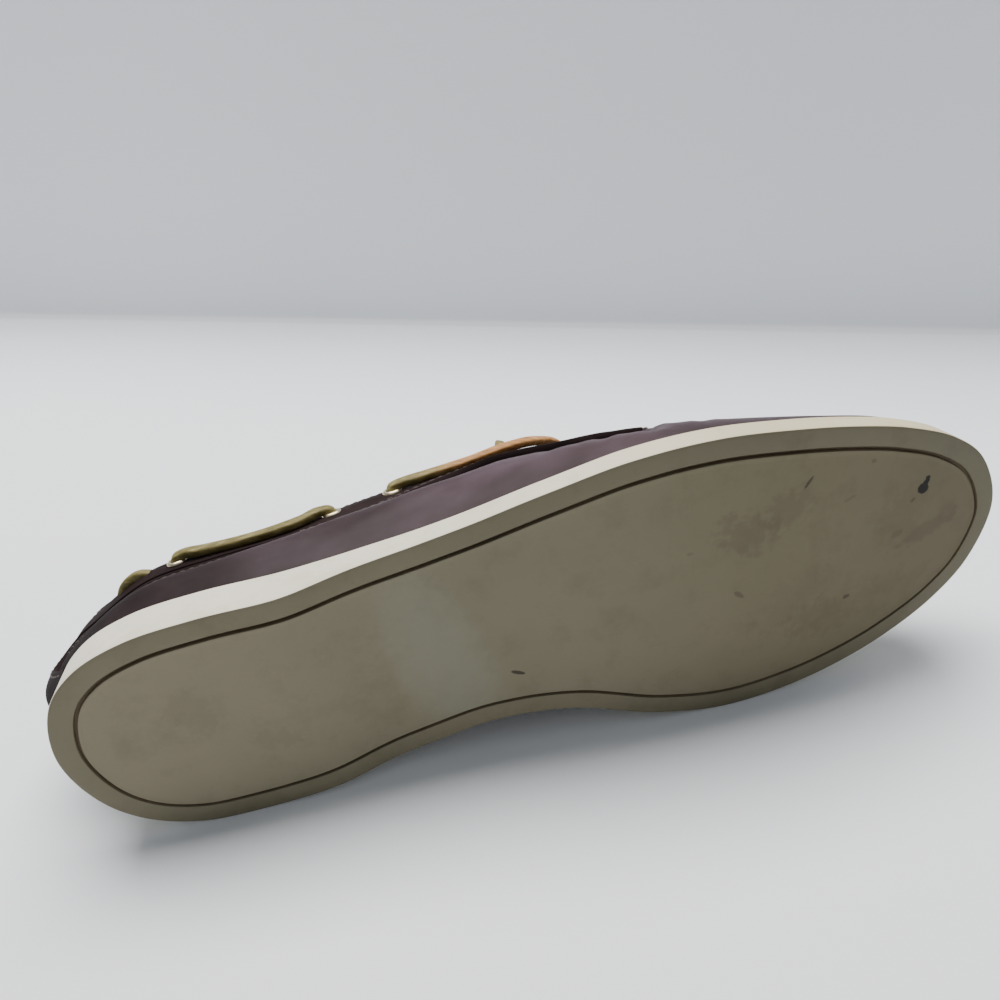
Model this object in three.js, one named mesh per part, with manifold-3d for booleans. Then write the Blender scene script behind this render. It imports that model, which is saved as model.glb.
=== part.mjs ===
// Boat shoe for the right foot, lying on its medial side. All sizes are millimetres.
//
// The shoe is modelled in its own frame: x runs from the tip of the heel to the toe, y to the
// medial side (big toe) and z up from the flat of the outsole. The finished group is then turned
// on to its side, toe along +X, with the sole facing -Y, and set down on the floor at Z = 0.
import * as THREE from "three";
import { mergeVertices } from "three/addons/utils/BufferGeometryUtils.js";
import Module from "manifold-3d";

const wasm = await Module();
wasm.setup();

// ---------------------------------------------------------------- driving sizes
const SOLE_LENGTH = 300;
const SPRING_START = 185; // where the sole begins to lift towards the toe
const TOE_SPRING = 10; // lift of the sole at the toe tip
const EDGE_INSET = 1.2; // the top rim of the sole stands inside its bottom edge
const EDGE_ROUND = 0.5; // bevel of the sole's bottom edge
const CHANNEL_INSET = 7.2; // stitching channel in the bottom, measured from the edge
const CHANNEL_WIDTH = 1.4;
const CHANNEL_DEPTH = 1.2;

const GAP = 0.3; // clearance between pieces that touch
const WALL = 2; // leather of the upper
const FEATHER_INSET = 3; // the upper meets the sole this far inside its edge
const INSOLE_INSET = 6;
const INSOLE_THICKNESS = 3;
const TONGUE_THICKNESS = 2;

const LACE_RADIUS = 1.5;
const LACE_SIDES = 8;
const EYELET = { hole: 1.9, barrel: 2.3, flange: 3.3, rim: 0.5, depth: 2.9 };
const EYELET_HOLE = EYELET.barrel + GAP;
const EYELET_SEGMENTS = 10;

// How the shoe lies: turned about its length past upright, and its toe raised in that plane, so
// that heel edge, ball edge and the medial side of the upper all touch the floor.
const LEAN = THREE.MathUtils.degToRad(1.962);
const PITCH = THREE.MathUtils.degToRad(3.369);

// ---------------------------------------------------------------- sections
// Each row is one section of the shoe from heel to toe; lat and med are half-widths to either
// side of the middle line. The four lines that run round the shoe are the sole's edge, the girth
// (the widest line of the upper), the moccasin seam and the topline (collar and throat). Bulge is
// how far the leather between seam and topline swells out, as a share of its span.
function table(columns, ...rows) {
  return rows.map((row) => Object.fromEntries(columns.map((name, i) => [name, row[i]])));
}

const SOLE_EDGE = table(
  ["x", "lat", "med"],
  [5, 18.8, 19.2],
  [15, 28.9, 31.0],
  [30, 34.7, 37.9],
  [50, 36.7, 39.4],
  [75, 36.8, 38.2],
  [100, 39.2, 35.0],
  [125, 43.1, 31.5],
  [150, 48.8, 33.6],
  [175, 53.8, 42.7],
  [200, 54.3, 48.6],
  [225, 50.7, 48.2],
  [245, 46.1, 44.9],
  [262, 40.6, 39.8],
  [280, 31.7, 31.2],
  [293, 19.7, 19.5],
);

const GIRTH = table(
  ["x", "lat", "med", "z"],
  [-1, 10.4, 11.2, 29],
  [11, 21.4, 23.0, 28.5],
  [29, 31.8, 34.5, 28],
  [50, 34.6, 37.8, 29],
  [75, 36.6, 39.0, 31],
  [100, 39.5, 40.7, 32],
  [125, 42.8, 43.0, 32],
  [150, 47.0, 44.6, 29],
  [175, 50.2, 45.4, 24.5],
  [199, 49.6, 46.0, 21.5],
  [223, 46.0, 44.6, 20.5],
  [243, 41.6, 41.0, 21],
  [260, 36.6, 36.2, 22.5],
  [275.5, 29.0, 28.8, 25],
  [287, 20.0, 20.0, 27.5],
);

const SEAM = table(
  ["x", "lat", "med", "z"],
  [-0.5, 8.4, 9.4, 41],
  [9.5, 15.6, 17.6, 39.5],
  [29, 26.6, 29.0, 38],
  [50, 30.0, 33.0, 37.5],
  [75, 31.4, 34.6, 38.5],
  [100, 33.0, 36.0, 40.5],
  [125, 35.2, 37.0, 43],
  [150, 37.0, 37.6, 45.5],
  [174, 37.4, 37.4, 46.5],
  [197, 36.4, 35.8, 45],
  [218, 34.6, 34.4, 41.4],
  [236, 31.2, 31.0, 37.8],
  [250.5, 26.4, 26.8, 35.9],
  [263, 20.4, 20.8, 35.4],
  [272, 13.4, 13.6, 35.4],
);

const TOPLINE = table(
  ["x", "lat", "med", "z", "bulge"],
  [4, 6.6, 7.4, 59.2, 0.04],
  [13, 12.2, 13.6, 57.6, 0.07],
  [30, 19.8, 21.4, 55.8, 0.12],
  [50, 23.4, 25.0, 54.4, 0.1],
  [75, 25.4, 27.4, 54, 0.08],
  [100, 28.0, 29.8, 56.5, 0.08],
  [124, 26.0, 27.0, 63.6, 0.06],
  [147, 19.8, 20.2, 67.6, 0.05],
  [166, 17.0, 17.0, 64.8, 0.045],
  [176, 14.5, 14.5, 62.4, 0.04],
  [181, 11.5, 11.5, 61, 0.04],
  [184, 8.5, 8.5, 60.2, 0.04],
  [186, 5.8, 5.8, 59.8, 0.04],
  [187.2, 3.6, 3.6, 59.5, 0.04],
  [187.8, 1.8, 1.8, 59.4, 0.04],
);

// Where each line crosses the middle of the heel and of the toe.
const HEEL = {
  sole: { x: 0 },
  girth: { x: -7, z: 29 },
  seam: { x: -5.4, z: 42 },
  topline: { x: 0.6, z: 60, bulge: 0.05 },
};
const TOE = {
  sole: { x: SOLE_LENGTH },
  girth: { x: 295, z: 29 },
  seam: { x: 277, z: 35.6 },
  topline: { x: 188, z: 59.4, bulge: 0.04 },
};

// Heights of the sole before the toe spring is added: its bottom, flat under heel and ball with
// the waist raised between them, and its top rim.
const BOTTOM = table(
  ["x", "height"],
  [0, 0],
  [68, 0],
  [74, 0.5],
  [80, 1.7],
  [87, 3.2],
  [94, 4],
  [102, 4.2],
  [120, 3.9],
  [135, 3.1],
  [150, 2],
  [165, 0.8],
  [178, 0],
  [SOLE_LENGTH, 0],
);
const RIM = table(
  ["x", "height"],
  [0, 14.4],
  [30, 14.6],
  [60, 14.8],
  [80, 15],
  [100, 14.4],
  [112, 13.6],
  [130, 12.7],
  [150, 11.2],
  [165, 9.9],
  [180, 9.4],
  [SOLE_LENGTH, 9.4],
);

// The tongue from its sewn end under the throat to its free end.
const TONGUE = table(
  ["x", "half", "z", "drop"],
  [196, 15, 49.5, 4],
  [186, 19, 53.6, 7],
  [172, 22, 58.5, 10],
  [156, 24, 62.8, 12],
  [140, 24, 68.4, 12],
  [126, 22, 74.4, 9],
  [117, 20, 78.4, 7],
  [112, 13, 80.6, 3],
);

// Eyelets on each side: three along the collar, two beside the throat.
const COLLAR_EYELETS = table(["name", "x", "z"], ["rear", 38.5, 45.5], ["middle", 88.5, 47.5], ["front", 109, 49.5]);
const THROAT_EYELETS = table(["name", "x", "z"], ["upper", 147, 63.2], ["lower", 167, 60.2]);

const SIDES = { lateral: -1, medial: 1 };

// ---------------------------------------------------------------- lines and surfaces
const STEPS_PER_SECTION = 3;
const RING = (SOLE_EDGE.length * 2 + 2) * STEPS_PER_SECTION; // points in every line round the shoe

const linear = (rows, key, x) => {
  const next = rows.findIndex((row) => row.x >= x);
  if (next <= 0) return rows[next === 0 ? 0 : rows.length - 1][key];
  const [a, b] = [rows[next - 1], rows[next]];
  return THREE.MathUtils.lerp(a[key], b[key], (x - a.x) / (b.x - a.x));
};

const spring = (x) => TOE_SPRING * (Math.max(0, x - SPRING_START) / (SOLE_LENGTH - SPRING_START)) ** 2;
const heightAt = (rows, x) => spring(x) + linear(rows, "height", THREE.MathUtils.clamp(x, 0, SOLE_LENGTH));
const bottom = (x) => heightAt(BOTTOM, x);
const rim = (x) => heightAt(RIM, x);

// A closed smooth line: heel tip, lateral sections, toe tip, medial sections back to the heel.
function lineRound(rows, heel, toe) {
  const point = (x, y, z) => new THREE.Vector3(x, y, z ?? 0);
  const lateral = rows.map((row) => point(row.x, -row.lat, row.z));
  const medial = rows.map((row) => point(row.x, row.med, row.z)).reverse();
  const points = [point(heel.x, 0, heel.z), ...lateral, point(toe.x, 0, toe.z), ...medial];
  return new THREE.CatmullRomCurve3(points, true, "centripetal");
}

const lines = {
  sole: lineRound(SOLE_EDGE, HEEL.sole, TOE.sole),
  girth: lineRound(GIRTH, HEEL.girth, TOE.girth),
  seam: lineRound(SEAM, HEEL.seam, TOE.seam),
  topline: lineRound(TOPLINE, HEEL.topline, TOE.topline),
  bulge: lineRound(
    TOPLINE.map((row) => ({ ...row, z: row.bulge })),
    { ...HEEL.topline, z: HEEL.topline.bulge },
    { ...TOE.topline, z: TOE.topline.bulge },
  ),
};

// Point of the sole's edge at a place t round the shoe, moved inwards in plan.
function edgePoint(t, inset) {
  const point = lines.sole.getPoint(t);
  const along = lines.sole.getTangent(t);
  return new THREE.Vector3(point.x - along.y * inset, point.y + along.x * inset, 0);
}

const ringOf = (make) => Array.from({ length: RING }, (_, i) => make(i / RING));

// The profile of the upper at a place t round the shoe, from the sole up to the topline.
function profileAt(t) {
  const feather = edgePoint(t, FEATHER_INSET);
  feather.z = rim(feather.x) + GAP;
  const girth = lines.girth.getPoint(t);
  const seam = lines.seam.getPoint(t);
  const top = lines.topline.getPoint(t);
  const span = top.clone().sub(seam);
  const reach = Math.hypot(span.x, span.y);
  const outward = new THREE.Vector3(-span.x / reach, -span.y / reach, 0).multiplyScalar(span.z);
  const lift = outward.add(new THREE.Vector3(0, 0, reach)).multiplyScalar(lines.bulge.getPoint(t).z);
  const crown = seam.clone().lerp(top, 0.5).add(lift);
  return new THREE.CatmullRomCurve3([feather, girth, seam, crown, top], false, "centripetal");
}

// A point of the upper's outside and its outward normal: t runs round the shoe, level from the
// sole (0) to the topline (1).
function onUpper(t, level) {
  const step = 1e-3;
  const at = (a, b) => profileAt((a + 1) % 1).getPoint(THREE.MathUtils.clamp(b, 0, 1));
  const round = at(t + step, level).sub(at(t - step, level));
  const up = at(t, level + step).sub(at(t, level - step));
  return { point: at(t, level), normal: round.cross(up).normalize() };
}

// The spot on one side of the upper with a wanted x and z, found by halving.
function spotOn(side, x, z, offset = 0) {
  const halve = (low, high, tooSmall) => {
    let [a, b] = [low, high];
    for (let i = 0; i < 24; i += 1) {
      const middle = (a + b) / 2;
      if (tooSmall(middle)) a = middle;
      else b = middle;
    }
    return (a + b) / 2;
  };
  const place = (run) => (side === SIDES.lateral ? run : 1 - run);
  const runAt = (level) => halve(0.02, 0.48, (run) => onUpper(place(run), level).point.x < x);
  const level = halve(0.3, 1, (value) => onUpper(place(runAt(value)), value).point.z < z);
  const { point, normal } = onUpper(place(runAt(level)), level);
  return { point: point.addScaledVector(normal, offset), normal };
}

// ---------------------------------------------------------------- meshes
function geometryOf(points, faces) {
  const geometry = new THREE.BufferGeometry();
  geometry.setAttribute("position", new THREE.Float32BufferAttribute(points.flatMap((p) => p.toArray()), 3));
  geometry.setIndex(faces);
  return geometry;
}

const quad = (a, b, c, d) => [a, b, c, a, c, d];

// A solid made of closed rings, one inside or above the other; its two ends are filled across.
function stackRings(rings) {
  const count = rings[0].length;
  const index = (ring, i) => ring * count + ((i + count) % count);
  const faces = [];
  for (let ring = 0; ring + 1 < rings.length; ring += 1) {
    for (let i = 0; i < count; i += 1) {
      faces.push(...quad(index(ring, i), index(ring, i + 1), index(ring + 1, i + 1), index(ring + 1, i)));
    }
  }
  const last = rings.length - 1;
  for (let i = 0; i < count / 2; i += 1) {
    const strip = (ring) => [index(ring, i), index(ring, i + 1), index(ring, -i - 1), index(ring, -i)];
    const flat = (corners) => corners.filter((corner, k) => corner !== corners[(k + 1) % 4]);
    const fill = (corners) => (corners.length === 4 ? quad(...corners) : corners);
    faces.push(...fill(flat(strip(0))).reverse(), ...fill(flat(strip(last))));
  }
  return geometryOf(rings.flat(), faces);
}

// A sheet with a thickness: outer and inner are grids of points, rows x columns. When closed, the
// rows join round into a ring.
function slab(outer, inner, closed) {
  const rows = outer.length;
  const columns = outer[0].length;
  const index = (layer, row, column) => (layer * rows + (row % rows)) * columns + column;
  const faces = [];
  const lastRow = closed ? rows : rows - 1;
  for (let row = 0; row < lastRow; row += 1) {
    for (let column = 0; column + 1 < columns; column += 1) {
      const corners = (layer) => [
        index(layer, row, column),
        index(layer, row + 1, column),
        index(layer, row + 1, column + 1),
        index(layer, row, column + 1),
      ];
      faces.push(...quad(...corners(0)), ...quad(...corners(1).reverse()));
    }
    faces.push(...quad(index(0, row, 0), index(1, row, 0), index(1, row + 1, 0), index(0, row + 1, 0)));
    const end = columns - 1;
    faces.push(...quad(index(0, row + 1, end), index(1, row + 1, end), index(1, row, end), index(0, row, end)));
  }
  for (let column = 0; column + 1 < columns && !closed; column += 1) {
    const next = column + 1;
    const end = rows - 1;
    faces.push(...quad(index(0, 0, next), index(1, 0, next), index(1, 0, column), index(0, 0, column)));
    faces.push(...quad(index(0, end, column), index(1, end, column), index(1, end, next), index(0, end, next)));
  }
  return geometryOf([outer, inner].flat(2), faces);
}

function toManifold(geometry) {
  const bare = geometry.clone();
  bare.deleteAttribute("normal");
  bare.deleteAttribute("uv");
  const merged = mergeVertices(bare, 1e-4);
  return new wasm.Manifold(
    new wasm.Mesh({
      numProp: 3,
      vertProperties: new Float32Array(merged.attributes.position.array),
      triVerts: new Uint32Array(merged.index.array),
    }),
  );
}

function fromManifold(solid) {
  const mesh = solid.getMesh();
  const geometry = new THREE.BufferGeometry();
  geometry.setAttribute("position", new THREE.BufferAttribute(new Float32Array(mesh.vertProperties), 3));
  geometry.setIndex(Array.from(mesh.triVerts));
  return geometry;
}

// Turns a geometry made along +Y so that it stands on a spot of the upper, along its normal.
function standOn(geometry, spot) {
  const turn = new THREE.Quaternion().setFromUnitVectors(new THREE.Vector3(0, 1, 0), spot.normal);
  return geometry.applyQuaternion(turn).translate(...spot.point.toArray());
}

// ---------------------------------------------------------------- sole and insole
function outsoleGeometry() {
  const ring = (inset, rise) =>
    ringOf((t) => {
      const point = edgePoint(t, inset);
      return point.setZ(bottom(point.x) + rise);
    });
  const rimRing = ringOf((t) => {
    const point = edgePoint(t, EDGE_INSET);
    return point.setZ(rim(point.x));
  });
  const channel = { inner: CHANNEL_INSET + CHANNEL_WIDTH / 2, outer: CHANNEL_INSET - CHANNEL_WIDTH / 2 };
  return stackRings([
    ring(channel.inner, 0),
    ring(channel.inner, CHANNEL_DEPTH),
    ring(channel.outer, CHANNEL_DEPTH),
    ring(channel.outer, 0),
    ring(EDGE_ROUND, 0),
    ring(0, EDGE_ROUND),
    rimRing,
  ]);
}

function insoleGeometry() {
  const ring = (rise) =>
    ringOf((t) => {
      const point = edgePoint(t, INSOLE_INSET);
      return point.setZ(rim(point.x) + rise);
    });
  return stackRings([ring(GAP), ring(GAP + INSOLE_THICKNESS)]);
}

// ---------------------------------------------------------------- upper and tongue
const UPPER_LEVELS = 12;

function upperShell() {
  const levels = Array.from({ length: UPPER_LEVELS + 1 }, (_, i) => i / UPPER_LEVELS);
  const grid = ringOf((t) => levels.map((level) => onUpper(t, level)));
  const outer = grid.map((row) => row.map((spot) => spot.point.clone()));
  const inner = grid.map((row) => row.map((spot) => spot.point.clone().addScaledVector(spot.normal, -WALL)));
  inner.forEach((row, i) => {
    row[0].z = Math.max(row[0].z, outer[i][0].z);
  });
  return slab(outer, inner, true);
}

function allEyelets() {
  const rows = [...COLLAR_EYELETS, ...THROAT_EYELETS];
  return Object.entries(SIDES).flatMap(([sideName, side]) =>
    rows.map((row) => ({ name: `eyelet_${sideName}_${row.name}`, spot: spotOn(side, row.x, row.z) })),
  );
}

const HOLE_REACH = 8; // the punch goes this far to each side of the leather
const HOLE_SEGMENTS = 10;

function upperGeometry() {
  return fromManifold(
    allEyelets().reduce((solid, { spot }) => {
      const punch = new THREE.CylinderGeometry(EYELET_HOLE, EYELET_HOLE, 2 * HOLE_REACH, HOLE_SEGMENTS);
      return solid.subtract(toManifold(standOn(punch, spot)));
    }, toManifold(upperShell())),
  );
}

const TONGUE_COLUMNS = 8;

function tongueGeometry() {
  const top = TONGUE.map(({ x, half, z, drop }) =>
    Array.from({ length: TONGUE_COLUMNS + 1 }, (_, i) => {
      const across = 1 - (2 * i) / TONGUE_COLUMNS;
      return new THREE.Vector3(x, across * half, z - drop * across ** 2);
    }),
  );
  const below = top.map((row) => row.map((point) => point.clone().setZ(point.z - TONGUE_THICKNESS)));
  return slab(top, below, false);
}

// ---------------------------------------------------------------- eyelets and lace
function eyeletGeometry(spot) {
  const { hole, barrel, flange, rim: rimHeight, depth } = EYELET;
  const section = [
    [hole, -depth],
    [barrel, -depth],
    [barrel, GAP],
    [flange, GAP],
    [flange - 0.3, GAP + rimHeight],
    [hole, GAP + rimHeight],
    [hole, -depth],
  ].map(([radius, height]) => new THREE.Vector2(radius, height));
  return standOn(new THREE.LatheGeometry(section, EYELET_SEGMENTS), spot);
}

function strand(points, steps) {
  const outline = new THREE.Shape();
  for (let i = 0; i < LACE_SIDES; i += 1) {
    const angle = (i / LACE_SIDES) * 2 * Math.PI;
    const [x, y] = [LACE_RADIUS * Math.cos(angle), LACE_RADIUS * Math.sin(angle)];
    if (i === 0) outline.moveTo(x, y);
    else outline.lineTo(x, y);
  }
  outline.closePath();
  const path = new THREE.CatmullRomCurve3(points, false, "centripetal");
  return new THREE.ExtrudeGeometry(outline, { extrudePath: path, steps, curveSegments: 1, bevelEnabled: false });
}

// Lace along the outside of the upper. Each row of a run gives x, z and how far the lace's middle
// stands off the leather: slack on the lateral side, flat on the medial side that lies down.
const LACE_COLUMNS = ["x", "z", "lateral", "medial"];
const LACE_RUNS = {
  heel: table(LACE_COLUMNS, [17, 48, 2, 2], [21, 47.6, 2.2, 2.2], [25, 47.2, 2.2, 2.2], [29, 46.8, 2, 2]),
  rear: table(
    LACE_COLUMNS,
    [38.5, 45.5, 2.8, 2.8],
    [46, 44.4, 2.3, 2.3],
    [63, 43.4, 2, 2],
    [80, 45.4, 2.3, 2.3],
    [88.5, 47.5, 2.8, 2.8],
  ),
  front: table(
    LACE_COLUMNS,
    [109, 49.5, 2.8, 2.8],
    [117, 49.4, 2.8, 2.5],
    [134, 50.8, 3.6, 2.3],
    [152, 53.2, 4.2, 2.3],
    [162, 57, 3.8, 2.5],
    [167, 60.2, 2.8, 2.8],
  ),
};
const STRAND_STEPS = { heel: 6, rear: 14, front: 16, cross: 14, end: 8 };

const laceRun = (name, sideName) =>
  strand(
    LACE_RUNS[name].map((row) => spotOn(SIDES[sideName], row.x, row.z, row[sideName]).point),
    STRAND_STEPS[name],
  );

// The crossing over the tongue: two strands from the lower eyelet of one side to the upper eyelet
// of the other, under the edges of the quarters, joined where they cross.
const CROSSING = table(["x", "y", "z"], [162, 11, 62], [157, 0, 66], [152, -11, 66]);
const CROSSING_DEPTH = 4.9; // its ends lie this far under the outside of the leather

function crossGeometry() {
  const [upper, lower] = THROAT_EYELETS;
  const under = (side, row) => spotOn(side, row.x, row.z, -CROSSING_DEPTH).point;
  const half = (side) => {
    const over = CROSSING.map(({ x, y, z }) => new THREE.Vector3(x, side * y, z));
    return strand([under(side, lower), ...over, under(-side, upper)], STRAND_STEPS.cross);
  };
  return fromManifold(toManifold(half(1)).add(toManifold(half(-1))));
}

// The cut ends stand out of the upper eyelets of the throat.
const END_RISE = table(["x", "y", "z"], [0, 0, 0], [0.8, 1.6, 3.5], [1.8, 2.4, 7], [2.4, 1.8, 10.5]);

function endGeometry(side) {
  const { x, z } = THROAT_EYELETS[0];
  const start = spotOn(side, x, z, LACE_RADIUS + 1.2).point;
  const points = END_RISE.map((row) => new THREE.Vector3(start.x + row.x, start.y + side * row.y, start.z + row.z));
  return strand(points, STRAND_STEPS.end);
}

// ---------------------------------------------------------------- the shoe
const FINISHES = {
  rubber: new THREE.MeshStandardMaterial({ color: "#a39a82", roughness: 0.85, metalness: 0 }),
  leather: new THREE.MeshStandardMaterial({ color: "#3d2a30", roughness: 0.45, metalness: 0 }),
  lining: new THREE.MeshStandardMaterial({ color: "#8a6f52", roughness: 0.8, metalness: 0 }),
  rawhide: new THREE.MeshStandardMaterial({ color: "#8f6a3c", roughness: 0.7, metalness: 0 }),
  brass: new THREE.MeshStandardMaterial({ color: "#c8b27a", roughness: 0.35, metalness: 1 }),
};

const shoe = new THREE.Group();

function add(name, geometry, finish) {
  const mesh = new THREE.Mesh(geometry, FINISHES[finish]);
  mesh.name = name;
  shoe.add(mesh);
}

add("outsole", outsoleGeometry(), "rubber");
add("insole", insoleGeometry(), "lining");
add("upper", upperGeometry(), "leather");
add("tongue", tongueGeometry(), "leather");
allEyelets().forEach(({ name, spot }) => add(name, eyeletGeometry(spot), "brass"));
add("lace_cross", crossGeometry(), "rawhide");
Object.entries(SIDES).forEach(([sideName, side]) => {
  Object.keys(LACE_RUNS).forEach((run) => add(`lace_${run}_${sideName}`, laceRun(run, sideName), "rawhide"));
  add(`lace_end_${sideName}`, endGeometry(side), "rawhide");
});

// Lay the shoe on its medial side, and put the middle of its footprint at the origin.
shoe.rotation.set(-Math.PI / 2 - LEAN, 0, -PITCH);
shoe.updateMatrixWorld(true);
const box = new THREE.Box3().setFromObject(shoe, true);
const middle = box.getCenter(new THREE.Vector3());
shoe.position.set(-middle.x, -middle.y, -box.min.z);

export default shoe;
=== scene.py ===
# %% [markdown]
# # A boat shoe lying on its side
# The real shoe is a moccasin: one strip of leather walls the foot, a collar and two lacing
# facings lie over it, a plug is sewn in over the toes, and a flat rubber sole is glued and
# stitched below. This lesson builds those pieces one by one around the imported solids, which
# give every size. First we load the solids.

# %% Load the imported shoe
import math

import bpy
import numpy as np
from mathutils import Matrix, Vector


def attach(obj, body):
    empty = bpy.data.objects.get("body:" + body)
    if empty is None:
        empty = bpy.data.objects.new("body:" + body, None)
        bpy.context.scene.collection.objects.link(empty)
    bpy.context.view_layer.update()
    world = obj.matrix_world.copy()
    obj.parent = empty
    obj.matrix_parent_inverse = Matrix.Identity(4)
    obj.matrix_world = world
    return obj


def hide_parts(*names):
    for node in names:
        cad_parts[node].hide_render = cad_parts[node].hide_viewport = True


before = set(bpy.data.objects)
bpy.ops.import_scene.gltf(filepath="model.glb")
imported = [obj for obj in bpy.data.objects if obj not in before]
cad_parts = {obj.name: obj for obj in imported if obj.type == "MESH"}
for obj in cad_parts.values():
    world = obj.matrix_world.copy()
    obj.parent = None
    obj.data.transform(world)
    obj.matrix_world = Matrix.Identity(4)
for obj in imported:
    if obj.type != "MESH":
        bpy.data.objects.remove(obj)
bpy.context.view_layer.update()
print("packed nodes:", len(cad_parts))

# %% [markdown]
# The shoe is easiest to describe standing up: x from the heel tip to the toe, y to the inner
# side (the big toe), z up from the flat of the sole, all in millimetres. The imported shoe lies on
# its inner side, so one turn and one shift carry every point from the standing shoe to where it
# lies, in metres.

# %% From the standing shoe to the lying one
LEAN = math.radians(1.962)
PITCH = math.radians(3.369)
HEEL_TIP = np.array([-0.146143, -0.039768, 0.036764])
LENGTHWISE = np.array([math.cos(PITCH), math.sin(PITCH) * math.sin(LEAN), math.sin(PITCH) * math.cos(LEAN)])
INWARD = np.array([math.sin(PITCH), -math.cos(PITCH) * math.sin(LEAN), -math.cos(PITCH) * math.cos(LEAN)])
UPWARD = np.array([0.0, math.cos(LEAN), -math.sin(LEAN)])
TURN = np.array([LENGTHWISE, INWARD, UPWARD])
MM = 0.001


def lay(points):
    """Standing millimetres to lying metres."""
    return HEEL_TIP + np.asarray(points, float) @ TURN * MM


def lay_direction(directions):
    """The same turn for directions, which have no place."""
    return np.asarray(directions, float) @ TURN


print("heel tip lies at", HEEL_TIP)

# %% [markdown]
# The camera looks at the sole from a little above the floor, beside the outer edge of the
# forefoot. Its place is measured in the standing shoe's millimetres, as everything else is, so
# the view of the shoe is right however the shoe lies. It comes before the lace.

# %% Camera
CAMERA_PLACE = (110.18, -174.48, -198.21)
CAMERA_RIGHT = (0.96754, 0.13565, -0.21324)
CAMERA_UP = (0.22625, -0.84085, 0.49172)
CAMERA_FORWARD = (0.11260, 0.52400, 0.84424)

camera_data = bpy.data.cameras.new("camera")
camera_data.lens = 31.4
camera_data.sensor_width = 36
camera_data.clip_start = 0.01
camera = bpy.data.objects.new("camera", camera_data)
bpy.context.scene.collection.objects.link(camera)
axes = [lay_direction(CAMERA_RIGHT), lay_direction(CAMERA_UP), -lay_direction(CAMERA_FORWARD)]
turn = Matrix([[float(axis[row]) for axis in axes] for row in range(3)])
camera.matrix_world = Matrix.Translation(Vector(lay(CAMERA_PLACE))) @ turn.to_4x4()
bpy.context.scene.camera = camera
print("camera height above the floor, m:", round(camera.location.z, 4))

# %% [markdown]
# Four lines run round the shoe: the sole's edge, the girth (the widest line of the leather), the
# moccasin seam and the topline. Each is a short table of sections from heel to toe, with
# half-widths to the outer (lat) and the inner side (med), the same tables the solids are made
# from. A closed smooth curve through them gives the line.

# %% Section tables
SOLE_EDGE = [
    # x, lat, med
    (5, 18.8, 19.2), (15, 28.9, 31.0), (30, 34.7, 37.9), (50, 36.7, 39.4), (75, 36.8, 38.2),
    (100, 39.2, 35.0), (125, 43.1, 31.5), (150, 48.8, 33.6), (175, 53.8, 42.7), (200, 54.3, 48.6),
    (225, 50.7, 48.2), (245, 46.1, 44.9), (262, 40.6, 39.8), (280, 31.7, 31.2), (293, 19.7, 19.5),
]
GIRTH = [
    # x, lat, med, z
    (-1, 10.4, 11.2, 29), (11, 21.4, 23.0, 28.5), (29, 31.8, 34.5, 28), (50, 34.6, 37.8, 29),
    (75, 36.6, 39.0, 31), (100, 39.5, 40.7, 32), (125, 42.8, 43.0, 32), (150, 47.0, 44.6, 29),
    (175, 50.2, 45.4, 24.5), (199, 49.6, 46.0, 21.5), (223, 46.0, 44.6, 20.5), (243, 41.6, 41.0, 21),
    (260, 36.6, 36.2, 22.5), (275.5, 29.0, 28.8, 25), (287, 20.0, 20.0, 27.5),
]
SEAM = [
    # x, lat, med, z
    (-0.5, 8.4, 9.4, 41), (9.5, 15.6, 17.6, 39.5), (29, 26.6, 29.0, 38), (50, 30.0, 33.0, 37.5),
    (75, 31.4, 34.6, 38.5), (100, 33.0, 36.0, 40.5), (125, 35.2, 37.0, 43), (150, 37.0, 37.6, 45.5),
    (174, 37.4, 37.4, 46.5), (197, 36.4, 35.8, 45), (218, 34.6, 34.4, 41.4), (236, 31.2, 31.0, 37.8),
    (250.5, 26.4, 26.8, 35.9), (263, 20.4, 20.8, 35.4), (272, 13.4, 13.6, 35.4),
]
TOPLINE = [
    # x, lat, med, z, bulge of the leather below it
    (4, 6.6, 7.4, 59.2, 0.04), (13, 12.2, 13.6, 57.6, 0.07), (30, 19.8, 21.4, 55.8, 0.12),
    (50, 23.4, 25.0, 54.4, 0.1), (75, 25.4, 27.4, 54, 0.08), (100, 28.0, 29.8, 56.5, 0.08),
    (124, 26.0, 27.0, 63.6, 0.06), (147, 19.8, 20.2, 67.6, 0.05), (166, 17.0, 17.0, 64.8, 0.045),
    (176, 14.5, 14.5, 62.4, 0.04), (181, 11.5, 11.5, 61, 0.04), (184, 8.5, 8.5, 60.2, 0.04),
    (186, 5.8, 5.8, 59.8, 0.04), (187.2, 3.6, 3.6, 59.5, 0.04), (187.8, 1.8, 1.8, 59.4, 0.04),
]
SOLE_TIPS = ((0,), (300,))
GIRTH_TIPS = ((-7, 29), (295, 29))
SEAM_TIPS = ((-5.4, 42), (277, 35.6))
TOPLINE_TIPS = ((0.6, 60, 0.05), (188, 59.4, 0.04))
BOTTOM = [(0, 0), (68, 0), (74, 0.5), (80, 1.7), (87, 3.2), (94, 4), (102, 4.2), (120, 3.9), (135, 3.1),
          (150, 2), (165, 0.8), (178, 0), (300, 0)]
RIM = [(0, 14.4), (30, 14.6), (60, 14.8), (80, 15), (100, 14.4), (112, 13.6), (130, 12.7), (150, 11.2),
       (165, 9.9), (180, 9.4), (300, 9.4)]
SPRING_START, SOLE_LENGTH, TOE_SPRING = 185, 300, 10
FEATHER_INSET, GAP = 3, 0.3
SECTIONS = len(SOLE_EDGE)
ROUND = 2 * SECTIONS + 2
print("sections from heel to toe:", SECTIONS)

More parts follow.
